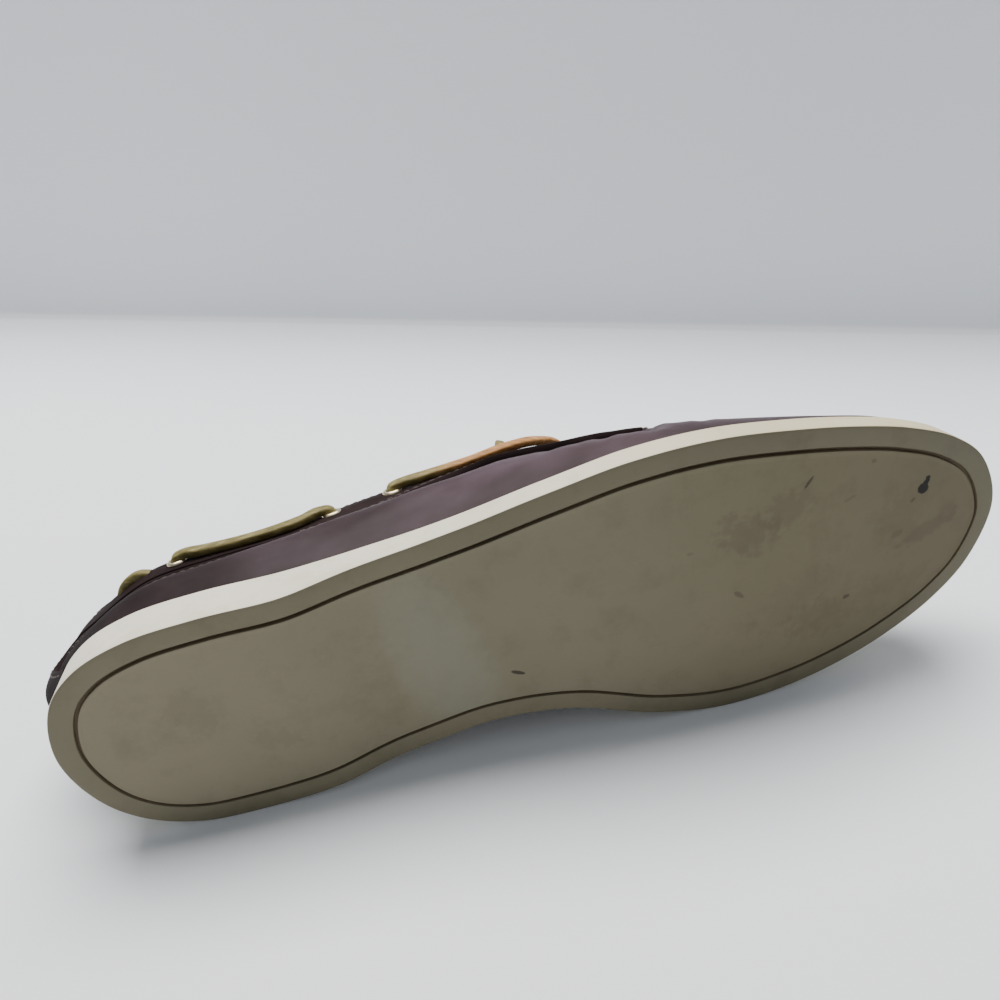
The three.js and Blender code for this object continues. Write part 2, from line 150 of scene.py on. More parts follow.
# %% [markdown]
# A Catmull-Rom curve passes through all its points, and the centripetal kind never loops on
# itself where the points crowd, as they do round the toe. Working on whole arrays at once keeps
# it fast enough to place tens of thousands of vertices.


# %% Smooth curves through points
def smooth(points, place, closed=False):
    """Points of shape (..., n, 3), or one list of them, at places 0 to 1 along each."""
    points = np.asarray(points, float)
    place = np.asarray(place, float)
    if points.ndim == 2:
        points = np.broadcast_to(points, (*place.shape, *points.shape))
    count = points.shape[-2]
    if closed:
        run = (place % 1.0) * count
        first = np.minimum(np.floor(run).astype(int), count - 1)
    else:
        run = np.clip(place, 0, 1) * (count - 1)
        first = np.minimum(np.floor(run).astype(int), count - 2)
    part = (run - first)[..., None]

    def pick(index):
        return np.take_along_axis(points, (index % count)[..., None, None].repeat(3, -1), -2)[..., 0, :]

    a, b, c, d = (pick(first + k) for k in (-1, 0, 1, 2))
    if not closed:
        a = np.where((first == 0)[..., None], 2 * b - c, a)
        d = np.where((first + 2 >= count)[..., None], 2 * c - b, d)
    ab, bc, cd = (np.sqrt(np.linalg.norm(q - p, axis=-1, keepdims=True)) for p, q in ((a, b), (b, c), (c, d)))
    bc = np.where(bc < 1e-4, 1, bc)
    ab = np.where(ab < 1e-4, bc, ab)
    cd = np.where(cd < 1e-4, bc, cd)
    leave = ((b - a) / ab - (c - a) / (ab + bc) + (c - b) / bc) * bc
    arrive = ((c - b) / bc - (d - b) / (bc + cd) + (d - c) / cd) * bc
    return (b + leave * part + (3 * (c - b) - 2 * leave - arrive) * part**2
            + (2 * (b - c) + leave + arrive) * part**3)


def ring_points(rows, tips, column=3):
    """Heel tip, outer sections, toe tip, then the inner sections back; column picks the height."""
    def height(values, at):
        return values[at] if len(values) > at else 0

    ends = [(tip[0], 0, height(tip, column - 2)) for tip in tips]
    outer = [(row[0], -row[1], height(row, column)) for row in rows]
    inner = [(row[0], row[2], height(row, column)) for row in reversed(rows)]
    return np.array([ends[0], *outer, ends[1], *inner], float)


SOLE_RING = ring_points(SOLE_EDGE, SOLE_TIPS)
GIRTH_RING = ring_points(GIRTH, GIRTH_TIPS)
SEAM_RING = ring_points(SEAM, SEAM_TIPS)
TOPLINE_RING = ring_points(TOPLINE, TOPLINE_TIPS)
BULGE_RING = ring_points(TOPLINE, TOPLINE_TIPS, column=4)
print("points in each line round the shoe:", len(SOLE_RING))


# %% Heights of the sole
def spring(x):
    return TOE_SPRING * (np.clip(x - SPRING_START, 0, None) / (SOLE_LENGTH - SPRING_START)) ** 2


def height_at(rows, x):
    """A height from one of the tables, with the toe spring added."""
    xs, heights = np.array(rows, float).T
    ease = 3.0  # averaging over a few millimetres rounds the corners of the table
    return spring(x) + sum(np.interp(np.clip(x + s, 0, 300), xs, heights) for s in (-ease, 0, ease)) / 3


def edge_point(t, inset):
    """The sole's edge at t round the shoe, moved inwards in plan."""
    step = 1e-4
    point = smooth(SOLE_RING, t, closed=True)
    along = smooth(SOLE_RING, t + step, closed=True) - smooth(SOLE_RING, t - step, closed=True)
    along /= np.linalg.norm(along, axis=-1, keepdims=True)
    inward = np.stack([-along[..., 1], along[..., 0], np.zeros_like(along[..., 0])], -1)
    return point + inward * np.asarray(inset, float)[..., None]


print("sole thickness at heel, waist and ball, mm:",
      [round(float(height_at(RIM, x) - height_at(BOTTOM, x)), 1) for x in (40, 110, 200)])

# %% [markdown]
# The leather is one surface with two directions: t runs round the shoe from the heel tip along
# the outer side, and level climbs from the sole (0) over the girth (0.25) and the seam (0.5) to
# the topline (1). Every panel, seam, stitch and eyelet is then a place on it and a lift off it.


# %% The leather's surface
def leather_bare(t, level):
    """Points of the leather's surface, with no lift."""
    t, level = np.broadcast_arrays(np.asarray(t, float), np.asarray(level, float))
    feather = edge_point(t, np.full(t.shape, FEATHER_INSET))
    feather[..., 2] = height_at(RIM, feather[..., 0]) + GAP
    girth = smooth(GIRTH_RING, t, closed=True)
    seam = smooth(SEAM_RING, t, closed=True)
    top = smooth(TOPLINE_RING, t, closed=True)
    bulge = smooth(BULGE_RING, t, closed=True)[..., 2:3]
    span = top - seam
    reach = np.linalg.norm(span[..., :2], axis=-1, keepdims=True)
    lift = np.concatenate([-span[..., :2] / reach * span[..., 2:3], reach], -1) * bulge
    crown = (seam + top) / 2 + lift
    return smooth(np.stack([feather, girth, seam, crown, top], -2), level)


def leather(t, level, lift=0.0):
    """Points and outward normals, in the standing shoe's millimetres."""
    step = 1e-3
    t, level = np.broadcast_arrays(np.asarray(t, float), np.asarray(level, float))
    low, high = np.clip(level - step, 0, 1), np.clip(level + step, 0, 1)
    normal = np.cross(leather_bare(t + step, level) - leather_bare(t - step, level),
                      leather_bare(t, high) - leather_bare(t, low))
    normal /= np.linalg.norm(normal, axis=-1, keepdims=True)
    return leather_bare(t, level) + normal * np.asarray(lift, float)[..., None], normal


CHART_T = np.linspace(0, 1, 801)[:-1]
CHART_LEVEL = np.linspace(0.25, 1, 151)
CHART = leather_bare(CHART_T[:, None], CHART_LEVEL[None, :])


def place_on(side, x, z):
    """The t and level of the spot with that x and z on the outer (-1) or inner (1) side."""
    on_side = (CHART_T < 0.5) if side < 0 else (CHART_T > 0.5)
    miss = (CHART[..., 0] - x) ** 2 + (CHART[..., 2] - z) ** 2 + 1e6 * ~on_side[:, None]
    i, j = np.unravel_index(np.argmin(miss), miss.shape)
    t, level = CHART_T[i], CHART_LEVEL[j]
    for reach in (1.0, 0.15):
        ts = t + np.linspace(-reach, reach, 15) / 800
        levels = np.clip(level + np.linspace(-reach, reach, 15) * 0.005, 0, 1)
        near = leather_bare(ts[:, None], levels[None, :])
        i, j = np.unravel_index(np.argmin((near[..., 0] - x) ** 2 + (near[..., 2] - z) ** 2), (15, 15))
        t, level = ts[i], levels[j]
    return t, level


def spot_on(side, x, z, lift):
    """The point and outward direction at that x and z; lift is a number or a rule for t and level."""
    t, level = (np.array([value]) for value in place_on(side, x, z))
    point, normal = leather(t, level, lift(t, level) if callable(lift) else lift)
    return point[0], normal[0]


def between(values, place):
    """Values given at even stops from 0 to 1, read at place."""
    return np.interp(place, np.linspace(0, 1, len(values)), values)


def unit(vectors):
    return vectors / np.linalg.norm(vectors, axis=-1, keepdims=True)


def run_length(points):
    """How far along a line of points each of them lies."""
    return np.concatenate([[0], np.cumsum(np.linalg.norm(np.diff(points, axis=0), axis=1))])


print("widest point of the leather, mm:", round(float(-CHART[..., 1].min()), 1))

# %% [markdown]
# Most pieces here start as a flat grid, added with the grid operator. Each vertex is then laid
# on the shoe by its place in the grid, the way a maker lays a cut panel on the last. In edit mode
# the two ends are merged where a panel goes right round, and a Solidify modifier gives the
# leather its real thickness, with a Bevel to soften its cut edges.


# %% Helpers for laying panels
def choose_only(obj):
    bpy.ops.object.select_all(action="DESELECT")
    obj.select_set(True)
    bpy.context.view_layer.objects.active = obj


def in_edit_mode(obj, *steps):
    """Runs the steps in edit mode, with the whole mesh selected at first."""
    choose_only(obj)
    bpy.ops.object.mode_set(mode="EDIT")
    bpy.ops.mesh.select_all(action="SELECT")
    for step in steps:
        step()
    bpy.ops.object.mode_set(mode="OBJECT")


def set_vertices(obj, points):
    obj.data.vertices.foreach_set("co", np.ascontiguousarray(points, np.float32).ravel())
    obj.data.update()


def get_vertices(obj):
    points = np.empty(len(obj.data.vertices) * 3, np.float32)
    obj.data.vertices.foreach_get("co", points)
    return points.reshape(-1, 3).astype(float)


def grid(name, columns, rows):
    """A flat grid; returns it with each vertex's place across (0 to 1) and up (0 to 1)."""
    bpy.ops.object.select_all(action="DESELECT")
    bpy.ops.mesh.primitive_grid_add(x_subdivisions=columns, y_subdivisions=rows, size=1, location=(0, 0, 0))
    obj = bpy.context.active_object
    obj.name = obj.data.name = name
    flat = get_vertices(obj)
    return obj, flat[:, 0] + 0.5, flat[:, 1] + 0.5


def face_outwards(obj, outward):
    """Turns all faces over if they look against the outward directions of their first corners."""
    score = 0.0
    for polygon in list(obj.data.polygons)[:: max(1, len(obj.data.polygons) // 400)]:
        score += float(np.dot(polygon.normal, outward[polygon.vertices[0]]))
    if score < 0:
        in_edit_mode(obj, bpy.ops.mesh.flip_normals)


def apply_modifier(obj, kind, **values):
    choose_only(obj)
    modifier = obj.modifiers.new(kind.lower(), kind)
    for key, value in values.items():
        setattr(modifier, key, value)
    bpy.ops.object.modifier_apply(modifier=modifier.name)


def finish_piece(obj, materials, replaced=(), smooth_angle=40):
    """Shades the piece, dresses it and lets it ride on the shoe's one body."""
    choose_only(obj)
    bpy.ops.object.shade_smooth_by_angle(angle=math.radians(smooth_angle))
    for material in materials:
        obj.data.materials.append(material)
    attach(obj, "root")
    if replaced:
        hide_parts(*replaced)
    print(f"{obj.name}: {len(obj.data.polygons)} faces")


def panel(name, columns, rows, place, wall, closed=False, bevel=0.0):
    """A leather panel: place(across, up) gives its outer points and normals; wall is its thickness."""
    obj, across, up = grid(name, columns, rows)
    points, normals = place(across, up)
    set_vertices(obj, lay(points))
    face_outwards(obj, lay_direction(normals))
    if closed:
        in_edit_mode(obj, lambda: bpy.ops.mesh.remove_doubles(threshold=1e-5))
    apply_modifier(obj, "SOLIDIFY", thickness=wall * MM, offset=-1)
    if bevel:
        apply_modifier(obj, "BEVEL", width=bevel * MM, segments=2, limit_method="ANGLE",
                       angle_limit=math.radians(50))
    return obj


print("panel helpers ready")

# %% [markdown]
# The materials are made of noise at the real scale: smooth leather with fine pores and a soft,
# cloudy sheen painted into its colour, cream rubber with a dull skin, oiled rawhide that is tan
# where it is new and olive where it is worn, and pale brass. All read Object coordinates, which are
# metres here, so a Noise scale of 1000 makes grains about a millimetre wide.


# %% Material helpers
def new_material(name):
    """The material, its node tree, its shader and its Object coordinates."""
    material = bpy.data.materials.new(name)
    material.use_nodes = True
    tree = material.node_tree
    shader = tree.nodes["Principled BSDF"]
    coordinates = tree.nodes.new("ShaderNodeTexCoord")
    return material, tree, shader, coordinates.outputs["Object"]


def noise(tree, source, scale, detail=3.0, roughness=0.5, stretch=None):
    if stretch:
        mapping = tree.nodes.new("ShaderNodeMapping")
        mapping.inputs["Scale"].default_value = stretch
        tree.links.new(source, mapping.inputs["Vector"])
        source = mapping.outputs["Vector"]
    node = tree.nodes.new("ShaderNodeTexNoise")
    node.inputs["Scale"].default_value = scale
    node.inputs["Detail"].default_value = detail
    node.inputs["Roughness"].default_value = roughness
    tree.links.new(source, node.inputs["Vector"])
    return node.outputs["Fac"]


def ramp(tree, source, stops):
    """A colour for each value, from stops of (value, colour)."""
    node = tree.nodes.new("ShaderNodeValToRGB")
    elements = node.color_ramp.elements
    while len(elements) < len(stops):
        elements.new(0.5)
    for element, (place, color) in zip(elements, stops):
        element.position = place
        element.color = (*color, 1)
    tree.links.new(source, node.inputs["Fac"])
    return node.outputs["Color"]


def mix(tree, factor, first, second, blend="MIX"):
    """Mixes two colours, each a socket or three numbers."""
    node = tree.nodes.new("ShaderNodeMix")
    node.data_type = "RGBA"
    node.blend_type = blend
    for socket, value in ((node.inputs[0], factor), (node.inputs[6], first), (node.inputs[7], second)):
        if hasattr(value, "links"):
            tree.links.new(value, socket)
        elif isinstance(value, (int, float)):
            socket.default_value = value
        else:
            socket.default_value = (*value, 1)
    return node.outputs[2]


def maths(tree, operation, first, second):
    node = tree.nodes.new("ShaderNodeMath")
    node.operation = operation
    for socket, value in ((node.inputs[0], first), (node.inputs[1], second)):
        if hasattr(value, "links"):
            tree.links.new(value, socket)
        else:
            socket.default_value = value
    return node.outputs[0]


def bump(tree, shader, *layers):
    """Layers of (height, distance in metres, strength), one on top of the other."""
    below = None
    for height, distance, strength in layers:
        node = tree.nodes.new("ShaderNodeBump")
        node.inputs["Distance"].default_value = distance
        node.inputs["Strength"].default_value = strength
        tree.links.new(height, node.inputs["Height"])
        if below:
            tree.links.new(below, node.inputs["Normal"])
        below = node.outputs["Normal"]
    tree.links.new(below, shader.inputs["Normal"])


def grey(tree, source, low, high, start=0.0, end=1.0, easing="LINEAR"):
    """Spreads a value that runs from start to end over another range."""
    node = tree.nodes.new("ShaderNodeMapRange")
    node.interpolation_type = easing
    for key, value in (("From Min", start), ("From Max", end), ("To Min", low), ("To Max", high)):
        node.inputs[key].default_value = value
    tree.links.new(source, node.inputs["Value"])
    return node.outputs["Result"]


def standing_coordinates(tree, place):
    """Object coordinates turned back into the standing shoe's x and y, in metres."""
    offset = tree.nodes.new("ShaderNodeVectorMath")
    offset.operation = "SUBTRACT"
    offset.inputs[1].default_value = HEEL_TIP
    tree.links.new(place, offset.inputs[0])
    parts = []
    for direction in (LENGTHWISE, INWARD):
        dot = tree.nodes.new("ShaderNodeVectorMath")
        dot.operation = "DOT_PRODUCT"
        dot.inputs[1].default_value = direction
        tree.links.new(offset.outputs[0], dot.inputs[0])
        parts.append(dot.outputs["Value"])
    return parts


def shade_along(tree, shader, stops):
    """Multiplies the base colour by a ramp that runs from the heel tip to the toe."""
    tone = shader.inputs["Base Color"].links[0].from_socket
    along = standing_coordinates(tree, tree.nodes["Texture Coordinate"].outputs["Object"])[0]
    share = grey(tree, along, 0, 1, end=SOLE_LENGTH * MM)
    shaded = mix(tree, 1.0, tone, ramp(tree, share, stops), "MULTIPLY")
    tree.links.new(shaded, shader.inputs["Base Color"])


print("material helpers ready")

# %% [markdown]
# The walls are smooth leather, dark brown with fine pores and soft creasing, clouded at random;
# the lighter, purplish clouds are a painted sheen. Towards the heel its colour is darker as painted
# shade, and it is rubbed duller. The same recipe in other colours serves the collar and the lining,
# and thread is a simpler version with coarse strands.

# %% Leather, lining and thread
def make_leather(name, dark, middle, light, shine, specular=0.1, along=None):
    """Clouded leather; along multiplies its colour from heel to toe, as painted shade at the heel, and dulls
    its heel end.
    """
    material, tree, shader, place = new_material(name)
    clouds = noise(tree, place, 26, 4, 0.55)
    streaks = noise(tree, place, 60, 3, 0.5, stretch=(0.35, 1, 1))
    tone = mix(tree, 0.35, ramp(tree, clouds, ((0.34, dark), (0.52, middle), (0.7, light))),
               ramp(tree, streaks, ((0.35, dark), (0.65, light))))
    tree.links.new(tone, shader.inputs["Base Color"])
    polish = grey(tree, clouds, *shine)
    if along:
        shade_along(tree, shader, along)
        rubbed = grey(tree, standing_coordinates(tree, place)[0], 0.9, 0.2, end=0.125)
        polish = maths(tree, "MAXIMUM", polish, rubbed)
    tree.links.new(polish, shader.inputs["Roughness"])
    pores = noise(tree, place, 2600, 2, 0.6)
    creasing = noise(tree, place, 420, 4, 0.6, stretch=(0.6, 1, 1))
    bump(tree, shader, (creasing, 0.0004, 0.25), (pores, 0.00012, 0.2))
    shader.inputs["Specular IOR Level"].default_value = specular
    return material


# Painted shade: this ramp darkens the wall leather towards the heel, and lightens it a little round 180 mm
# from the heel.
PAINTED_HEEL_SHADE = ((0.05, (0.27, 0.24, 0.21)), (0.18, (0.55, 0.52, 0.5)), (0.3, (0.96, 0.95, 0.95)),
             (0.6, (1.1, 1.06, 1.06)), (0.7, (0.92, 0.9, 0.9)))
# The leather's light, purplish tone is a painted sheen.
LEATHER = make_leather(
    "smooth_leather", (0.028, 0.0175, 0.0185), (0.050, 0.034, 0.039), (0.090, 0.065, 0.079), (0.4, 0.55),
    along=PAINTED_HEEL_SHADE)
DARK_LEATHER = make_leather(
    "collar_leather", (0.010, 0.006, 0.006), (0.018, 0.011, 0.011), (0.034, 0.022, 0.023), (0.62, 0.75),
    specular=0.04)
LINING = make_leather(
    "lining_leather", (0.15, 0.095, 0.05), (0.22, 0.145, 0.08), (0.3, 0.21, 0.12), (0.6, 0.8))


def make_thread(name, color, light):
    material, tree, shader, place = new_material(name)
    strands = noise(tree, place, 1400, 2, 0.5)
    tree.links.new(ramp(tree, strands, ((0.35, color), (0.7, light))), shader.inputs["Base Color"])
    shader.inputs["Roughness"].default_value = 0.7
    bump(tree, shader, (strands, 0.0002, 0.6))
    return material


THREAD = make_thread("dark_thread", (0.05, 0.032, 0.03), (0.11, 0.08, 0.07))
MOC_THREAD = make_thread("moccasin_thread", (0.10, 0.065, 0.045), (0.2, 0.14, 0.1))
print("leathers:", [m.name for m in (LEATHER, DARK_LEATHER, LINING)])

# %% [markdown]
# The sole is one rubber with four skins: cream on the sidewall, dark in the stitching channel as
# painted shade, and two dull olive ones on the rim and the rest of the underside, darker partly from
# grime and partly as painted shade. Each is a clouded tone multiplied by fine grime, and on three of
# them a ramp multiplies the tone from heel to toe, darkening it towards the toe.

# %% Rubber
def rubber_skin(name, base, warm, dark, rough, toe_ramp=None):
    """Dull clouded rubber; a ramp given as the last argument multiplies its colour from heel to toe."""
    material, tree, shader, place = new_material(name)
    clouds = noise(tree, place, 18, 4, 0.6)
    grime = noise(tree, place, 95, 5, 0.65)
    tone = ramp(tree, clouds, ((0.3, dark), (0.5, base), (0.72, warm)))
    spots = ramp(tree, grime, ((0.28, (0.88, 0.87, 0.84)), (0.5, (1, 1, 1))))
    tree.links.new(mix(tree, 1.0, tone, spots, "MULTIPLY"), shader.inputs["Base Color"])
    tree.links.new(grey(tree, grime, rough - 0.06, rough + 0.08), shader.inputs["Roughness"])
    skin = noise(tree, place, 1500, 2, 0.5)
    bump(tree, shader, (grime, 0.0002, 0.25), (skin, 0.00008, 0.25))
    shader.inputs["Specular IOR Level"].default_value = 0.2
    if toe_ramp:
        shade_along(tree, shader, toe_ramp)
    return material, tree, shader, place


SIDE_RUBBER = rubber_skin(
    "sidewall_rubber", (0.76, 0.71, 0.585), (0.80, 0.75, 0.625), (0.71, 0.66, 0.54), 0.55,
    ((0.1, (1, 1, 1)), (0.5, (0.96, 0.95, 0.92)), (0.72, (0.80, 0.75, 0.61)), (0.95, (0.76, 0.70, 0.56))))[0]
# Painted shade: the channel's dark brown rubber stands for the shade in the groove.
CHANNEL_RUBBER = rubber_skin(
    "channel_rubber", (0.165, 0.130, 0.080), (0.20, 0.155, 0.10), (0.125, 0.098, 0.06), 0.8)[0]
# The rim band of the underside is olive partly from grime and partly as painted shade.
RIM_RUBBER = rubber_skin(
    "rim_rubber", (0.225, 0.206, 0.143), (0.240, 0.220, 0.154), (0.207, 0.194, 0.132), 0.6,
    ((0.0, (0.82, 0.80, 0.74)), (0.3, (0.86, 0.83, 0.78)), (0.85, (0.67, 0.65, 0.59))))[0]
print("rubber:", SIDE_RUBBER.name, CHANNEL_RUBBER.name, RIM_RUBBER.name)

# %% [markdown]
# The underside has been walked on: it is a dull olive taupe, darker than the sidewall partly from
# grime and partly as painted shade, with cloudy smudges, a paler, smoother band across the waist
# where it never touches the ground, and a few small nicks. The marks are soft spots placed in the
# standing shoe's millimetres, which a turned Object coordinate gives back inside the material.

# %% Underside rubber
# The underside's olive taupe is partly grime and partly painted shade; the ramp below darkens it towards the
# toe.
UNDER_TOWARD_TOE = ((0.1, (0.89, 0.86, 0.83)), (0.5, (0.80, 0.78, 0.75)), (0.75, (0.65, 0.62, 0.54)),
              (0.95, (0.53, 0.49, 0.41)))
UNDER_RUBBER, under_tree, under_shader, under_place = rubber_skin(
    "underside_rubber", (0.270, 0.245, 0.170), (0.286, 0.258, 0.184), (0.251, 0.233, 0.157), 0.62, UNDER_TOWARD_TOE)
UNDER_X, UNDER_Y = standing_coordinates(under_tree, under_place)
RAG = noise(under_tree, under_place, 320, 3, 0.6)
WAIST_BAND = (112, 3, 34, 12, 78)
NICKS = [
    # x, y, half length, half width, turn in degrees, darkness
    (270.2, -18.6, 2.9, 1.2, 111, 1.0), (269.4, -17.0, 1.9, 1.7, 30, 1.0), (266, -13.6, 1.0, 0.6, 140, 0.35),
    (228, -32, 2.4, 0.5, 127, 0.6), (206, 2.5, 2.0, 0.8, 44, 0.3), (244.5, 16.5, 1.2, 0.9, 0, 0.5),
    (134, 13.5, 2.2, 0.7, 25, 0.75), (261.5, -2.2, 2.2, 1.3, 160, 0.16), (250, -33, 1.0, 0.7, 20, 0.25),
    (190, -18, 1.3, 0.7, 10, 0.15), (243, -22, 2.4, 0.6, 165, 0.15), (158, 30, 1.6, 0.7, 60, 0.2),
]
SMUDGES = [
    # the same columns
    (208, -20, 10, 7, 20, 0.3), (222, -25, 8, 6, -30, 0.26), (273, 0, 10, 2.8, 163, 0.45),
    (281, -4, 4, 3, 50, 0.35), (262, -8, 8, 12, 20, 0.2), (60, 12, 7, 4, 15, 0.15),
    (40, -6, 9, 6, 70, 0.15), (235, 22, 12, 7, 10, 0.2), (225, 10, 16, 8, 150, 0.12),
]


def spot(x, y, half_long, half_wide, degrees, soft, torn):
    """1 inside a small turned oval with a torn edge, falling to 0 outside it."""
    c, s = math.cos(math.radians(degrees)), math.sin(math.radians(degrees))
    dx, dy = (maths(under_tree, "SUBTRACT", coordinate, middle * MM)
              for coordinate, middle in ((UNDER_X, x), (UNDER_Y, y)))
    far = maths(under_tree, "MULTIPLY", maths(under_tree, "SUBTRACT", RAG, 0.5), torn)
    for share_x, share_y, half in ((c, s, half_long), (-s, c, half_wide)):
        part = maths(under_tree, "ADD", maths(under_tree, "MULTIPLY", dx, share_x / (half * MM)),
                     maths(under_tree, "MULTIPLY", dy, share_y / (half * MM)))
        far = maths(under_tree, "ADD", far, maths(under_tree, "MULTIPLY", part, part))
    return grey(under_tree, far, 1.0, 0.0, 1.0 - soft, 1.0 + soft, easing="SMOOTHSTEP")


def mark(tone, color, strength, *oval):
    return mix(under_tree, maths(under_tree, "MULTIPLY", spot(*oval), strength), tone, color)


tone = under_shader.inputs["Base Color"].links[0].from_socket
tone = mark(tone, (0.256, 0.254, 0.188), 0.55, *WAIST_BAND, 0.9, 1.6)
for *oval, strength in SMUDGES:
    tone = mark(tone, (0.105, 0.080, 0.048), strength, *oval, 0.8, 5.0)
for *oval, strength in NICKS:
    tone = mark(tone, (0.008, 0.006, 0.003), strength, *oval, 0.35, 3.0)
under_tree.links.new(tone, under_shader.inputs["Base Color"])
print("marks on the underside:", len(NICKS) + len(SMUDGES))

# %% [markdown]
# The sole is one moulded piece of rubber. Seen in section it goes round like a belt: from the
# middle of the underside out over the stitching channel to the edge, up the sidewall, over the
# rim and in to the middle of the top. The grid's rows are the stops along that belt and its
# columns run round the shoe. Small lips at the channel and a hollow in the sidewall catch light
# as the real moulding does.

# %% Sole
CHANNEL_INSET, CHANNEL_WIDTH, CHANNEL_DEPTH = 7.2, 1.15, 1.3
inner_lip = CHANNEL_INSET + CHANNEL_WIDTH / 2
outer_lip = CHANNEL_INSET - CHANNEL_WIDTH / 2
UNDER_STOPS = [
    # inset from the edge, height over the underside
    (inner_lip + 2.2, 0), (inner_lip + 0.8, 0), (inner_lip + 0.35, -0.12), (inner_lip + 0.08, -0.05),
    (inner_lip, 0.25), (inner_lip - 0.1, CHANNEL_DEPTH), (outer_lip + 0.1, CHANNEL_DEPTH),
    (outer_lip, 0.3), (outer_lip - 0.12, 0.04), (outer_lip - 0.5, 0), (3.0, 0), (1.0, 0), (0.42, 0.04),
    (0.12, 0.18), (0, 0.5),
]
SIDE_STOPS = [
    # inset, share of the way up to the rim
    (0.12, 0.12), (0.3, 0.3), (0.5, 0.5), (0.7, 0.68), (0.86, 0.82), (0.95, 0.9), (1.02, 0.95),
    (1.15, 0.985), (1.5, 1.0), (2.6, 1.0), (5.0, 0.995),
]
belt_rows = 1 + len(UNDER_STOPS) + len(SIDE_STOPS) + 1
ROUND_STEPS = 416


def belt_point(t, row):
    """One row of the belt at every t: the first and last rows close on the middle line."""
    if 0 < row <= len(UNDER_STOPS):
        inset, rise = UNDER_STOPS[row - 1]
        point = edge_point(t, np.full(t.shape, inset))
        point[:, 2] = height_at(BOTTOM, point[:, 0]) + rise
    elif len(UNDER_STOPS) < row < belt_rows - 1:
        inset, share = SIDE_STOPS[row - 1 - len(UNDER_STOPS)]
        point = edge_point(t, np.full(t.shape, inset))
        low, high = height_at(BOTTOM, point[:, 0]) + 0.5, height_at(RIM, point[:, 0])
        point[:, 2] = low + (high - low) * share
    else:
        inset = UNDER_STOPS[0][0] if row == 0 else SIDE_STOPS[-1][0]
        point = edge_point(t, np.full(t.shape, inset))
        twin = edge_point(-t, np.full(t.shape, inset))
        middle = (point + twin) / 2
        point = np.where(np.abs(point - twin)[:, 1:2] > 0.01, middle, point)
        heights = height_at(BOTTOM if row == 0 else RIM, point[:, 0])
        point[:, 2] = heights - (0.05 if row else 0)
    return point


sole, across_grid, up_grid = grid("sole", ROUND_STEPS, belt_rows - 1)
row_of = np.rint(up_grid * (belt_rows - 1)).astype(int)
points = np.empty((len(row_of), 3))
for row in range(belt_rows):
    chosen = row_of == row
    points[chosen] = belt_point(across_grid[chosen] % 1.0, row)
set_vertices(sole, lay(points))
middle_of_sole = lay((150, 0, 5))
face_outwards(sole, get_vertices(sole) - middle_of_sole)
SKIN_ROWS = (5, 8, len(UNDER_STOPS) - 1)  # underside, channel and rim end at these rows
for polygon in sole.data.polygons:
    row = min(row_of[corner] for corner in polygon.vertices)
    polygon.material_index = (1, 2, 3, 0)[np.searchsorted(SKIN_ROWS, row, side="right")]
in_edit_mode(sole, lambda: bpy.ops.mesh.remove_doubles(threshold=2e-5))
finish_piece(sole, [SIDE_RUBBER, UNDER_RUBBER, CHANNEL_RUBBER, RIM_RUBBER],
             replaced=["outsole"], smooth_angle=35)

# %% [markdown]
# The insole is a thin sheet of soft leather over foam that fills the bottom of the shoe. It is
# laid as a closed panel from the edge to the middle line, dished a little under heel and ball.

# %% Insole
INSOLE_INSET, INSOLE_THICKNESS = 6.4, 3


def insole_place(t, up):
    """From the middle line out to the edge, dished where the foot presses."""
    inset = np.full(t.shape, INSOLE_INSET)
    edge = edge_point(t, inset)
    middle = (edge + edge_point(-t, inset)) / 2
    point = edge + (middle - edge) * (1 - up)[:, None]
    dish = 1.1 * np.exp(-(((point[:, 0] - 45) / 30) ** 2)) + 0.8 * np.exp(-(((point[:, 0] - 205) / 38) ** 2))
    point[:, 2] = height_at(RIM, point[:, 0]) + GAP + INSOLE_THICKNESS - dish * np.cos(up * math.pi / 2)
    return point, np.tile((0.0, 0.0, 1.0), (len(t), 1))


insole = panel("insole", 192, 14, insole_place, INSOLE_THICKNESS - 0.6, closed=True, bevel=0.5)
finish_piece(insole, [LINING], replaced=["insole"])

# %% [markdown]
# Creases come from wear, so they are listed one by one: each is a soft trough with a low ridge on
# both sides, given by where its middle is, how long, wide and deep it is, and how it slants. The
# deepest run across the plug where the foot bends, and shallow ones cross the walls beside them.

# %% Creases
CREASES = [
    # side, x, z, half length, half width, depth, slant in degrees
    (0, 205, 0, 26, 2.6, 0.75, 4), (0, 214, 0, 22, 2.2, 0.55, -5), (0, 196, 0, 20, 2.0, 0.4, 7),
    (-1, 176, 30, 14, 2.4, 0.5, 62), (-1, 190, 28, 12, 2.2, 0.45, 74), (-1, 160, 33, 12, 2.6, 0.35, 50),
    (-1, 143, 27, 16, 3.4, 0.32, 14), (-1, 118, 26, 18, 3.6, 0.3, 8), (-1, 128, 35, 15, 3.0, 0.26, -12),
    (-1, 96, 30, 14, 3.2, 0.26, 20), (-1, 66, 26, 15, 3.4, 0.22, -6), (-1, 206, 26, 10, 2.2, 0.3, 80),
    (1, 182, 29, 13, 2.4, 0.5, 64), (1, 197, 27, 12, 2.2, 0.45, 76), (1, 165, 33, 12, 2.6, 0.3, 48),
    (1, 120, 28, 16, 3.4, 0.24, 10), (1, 90, 30, 14, 3.2, 0.22, -14),
]


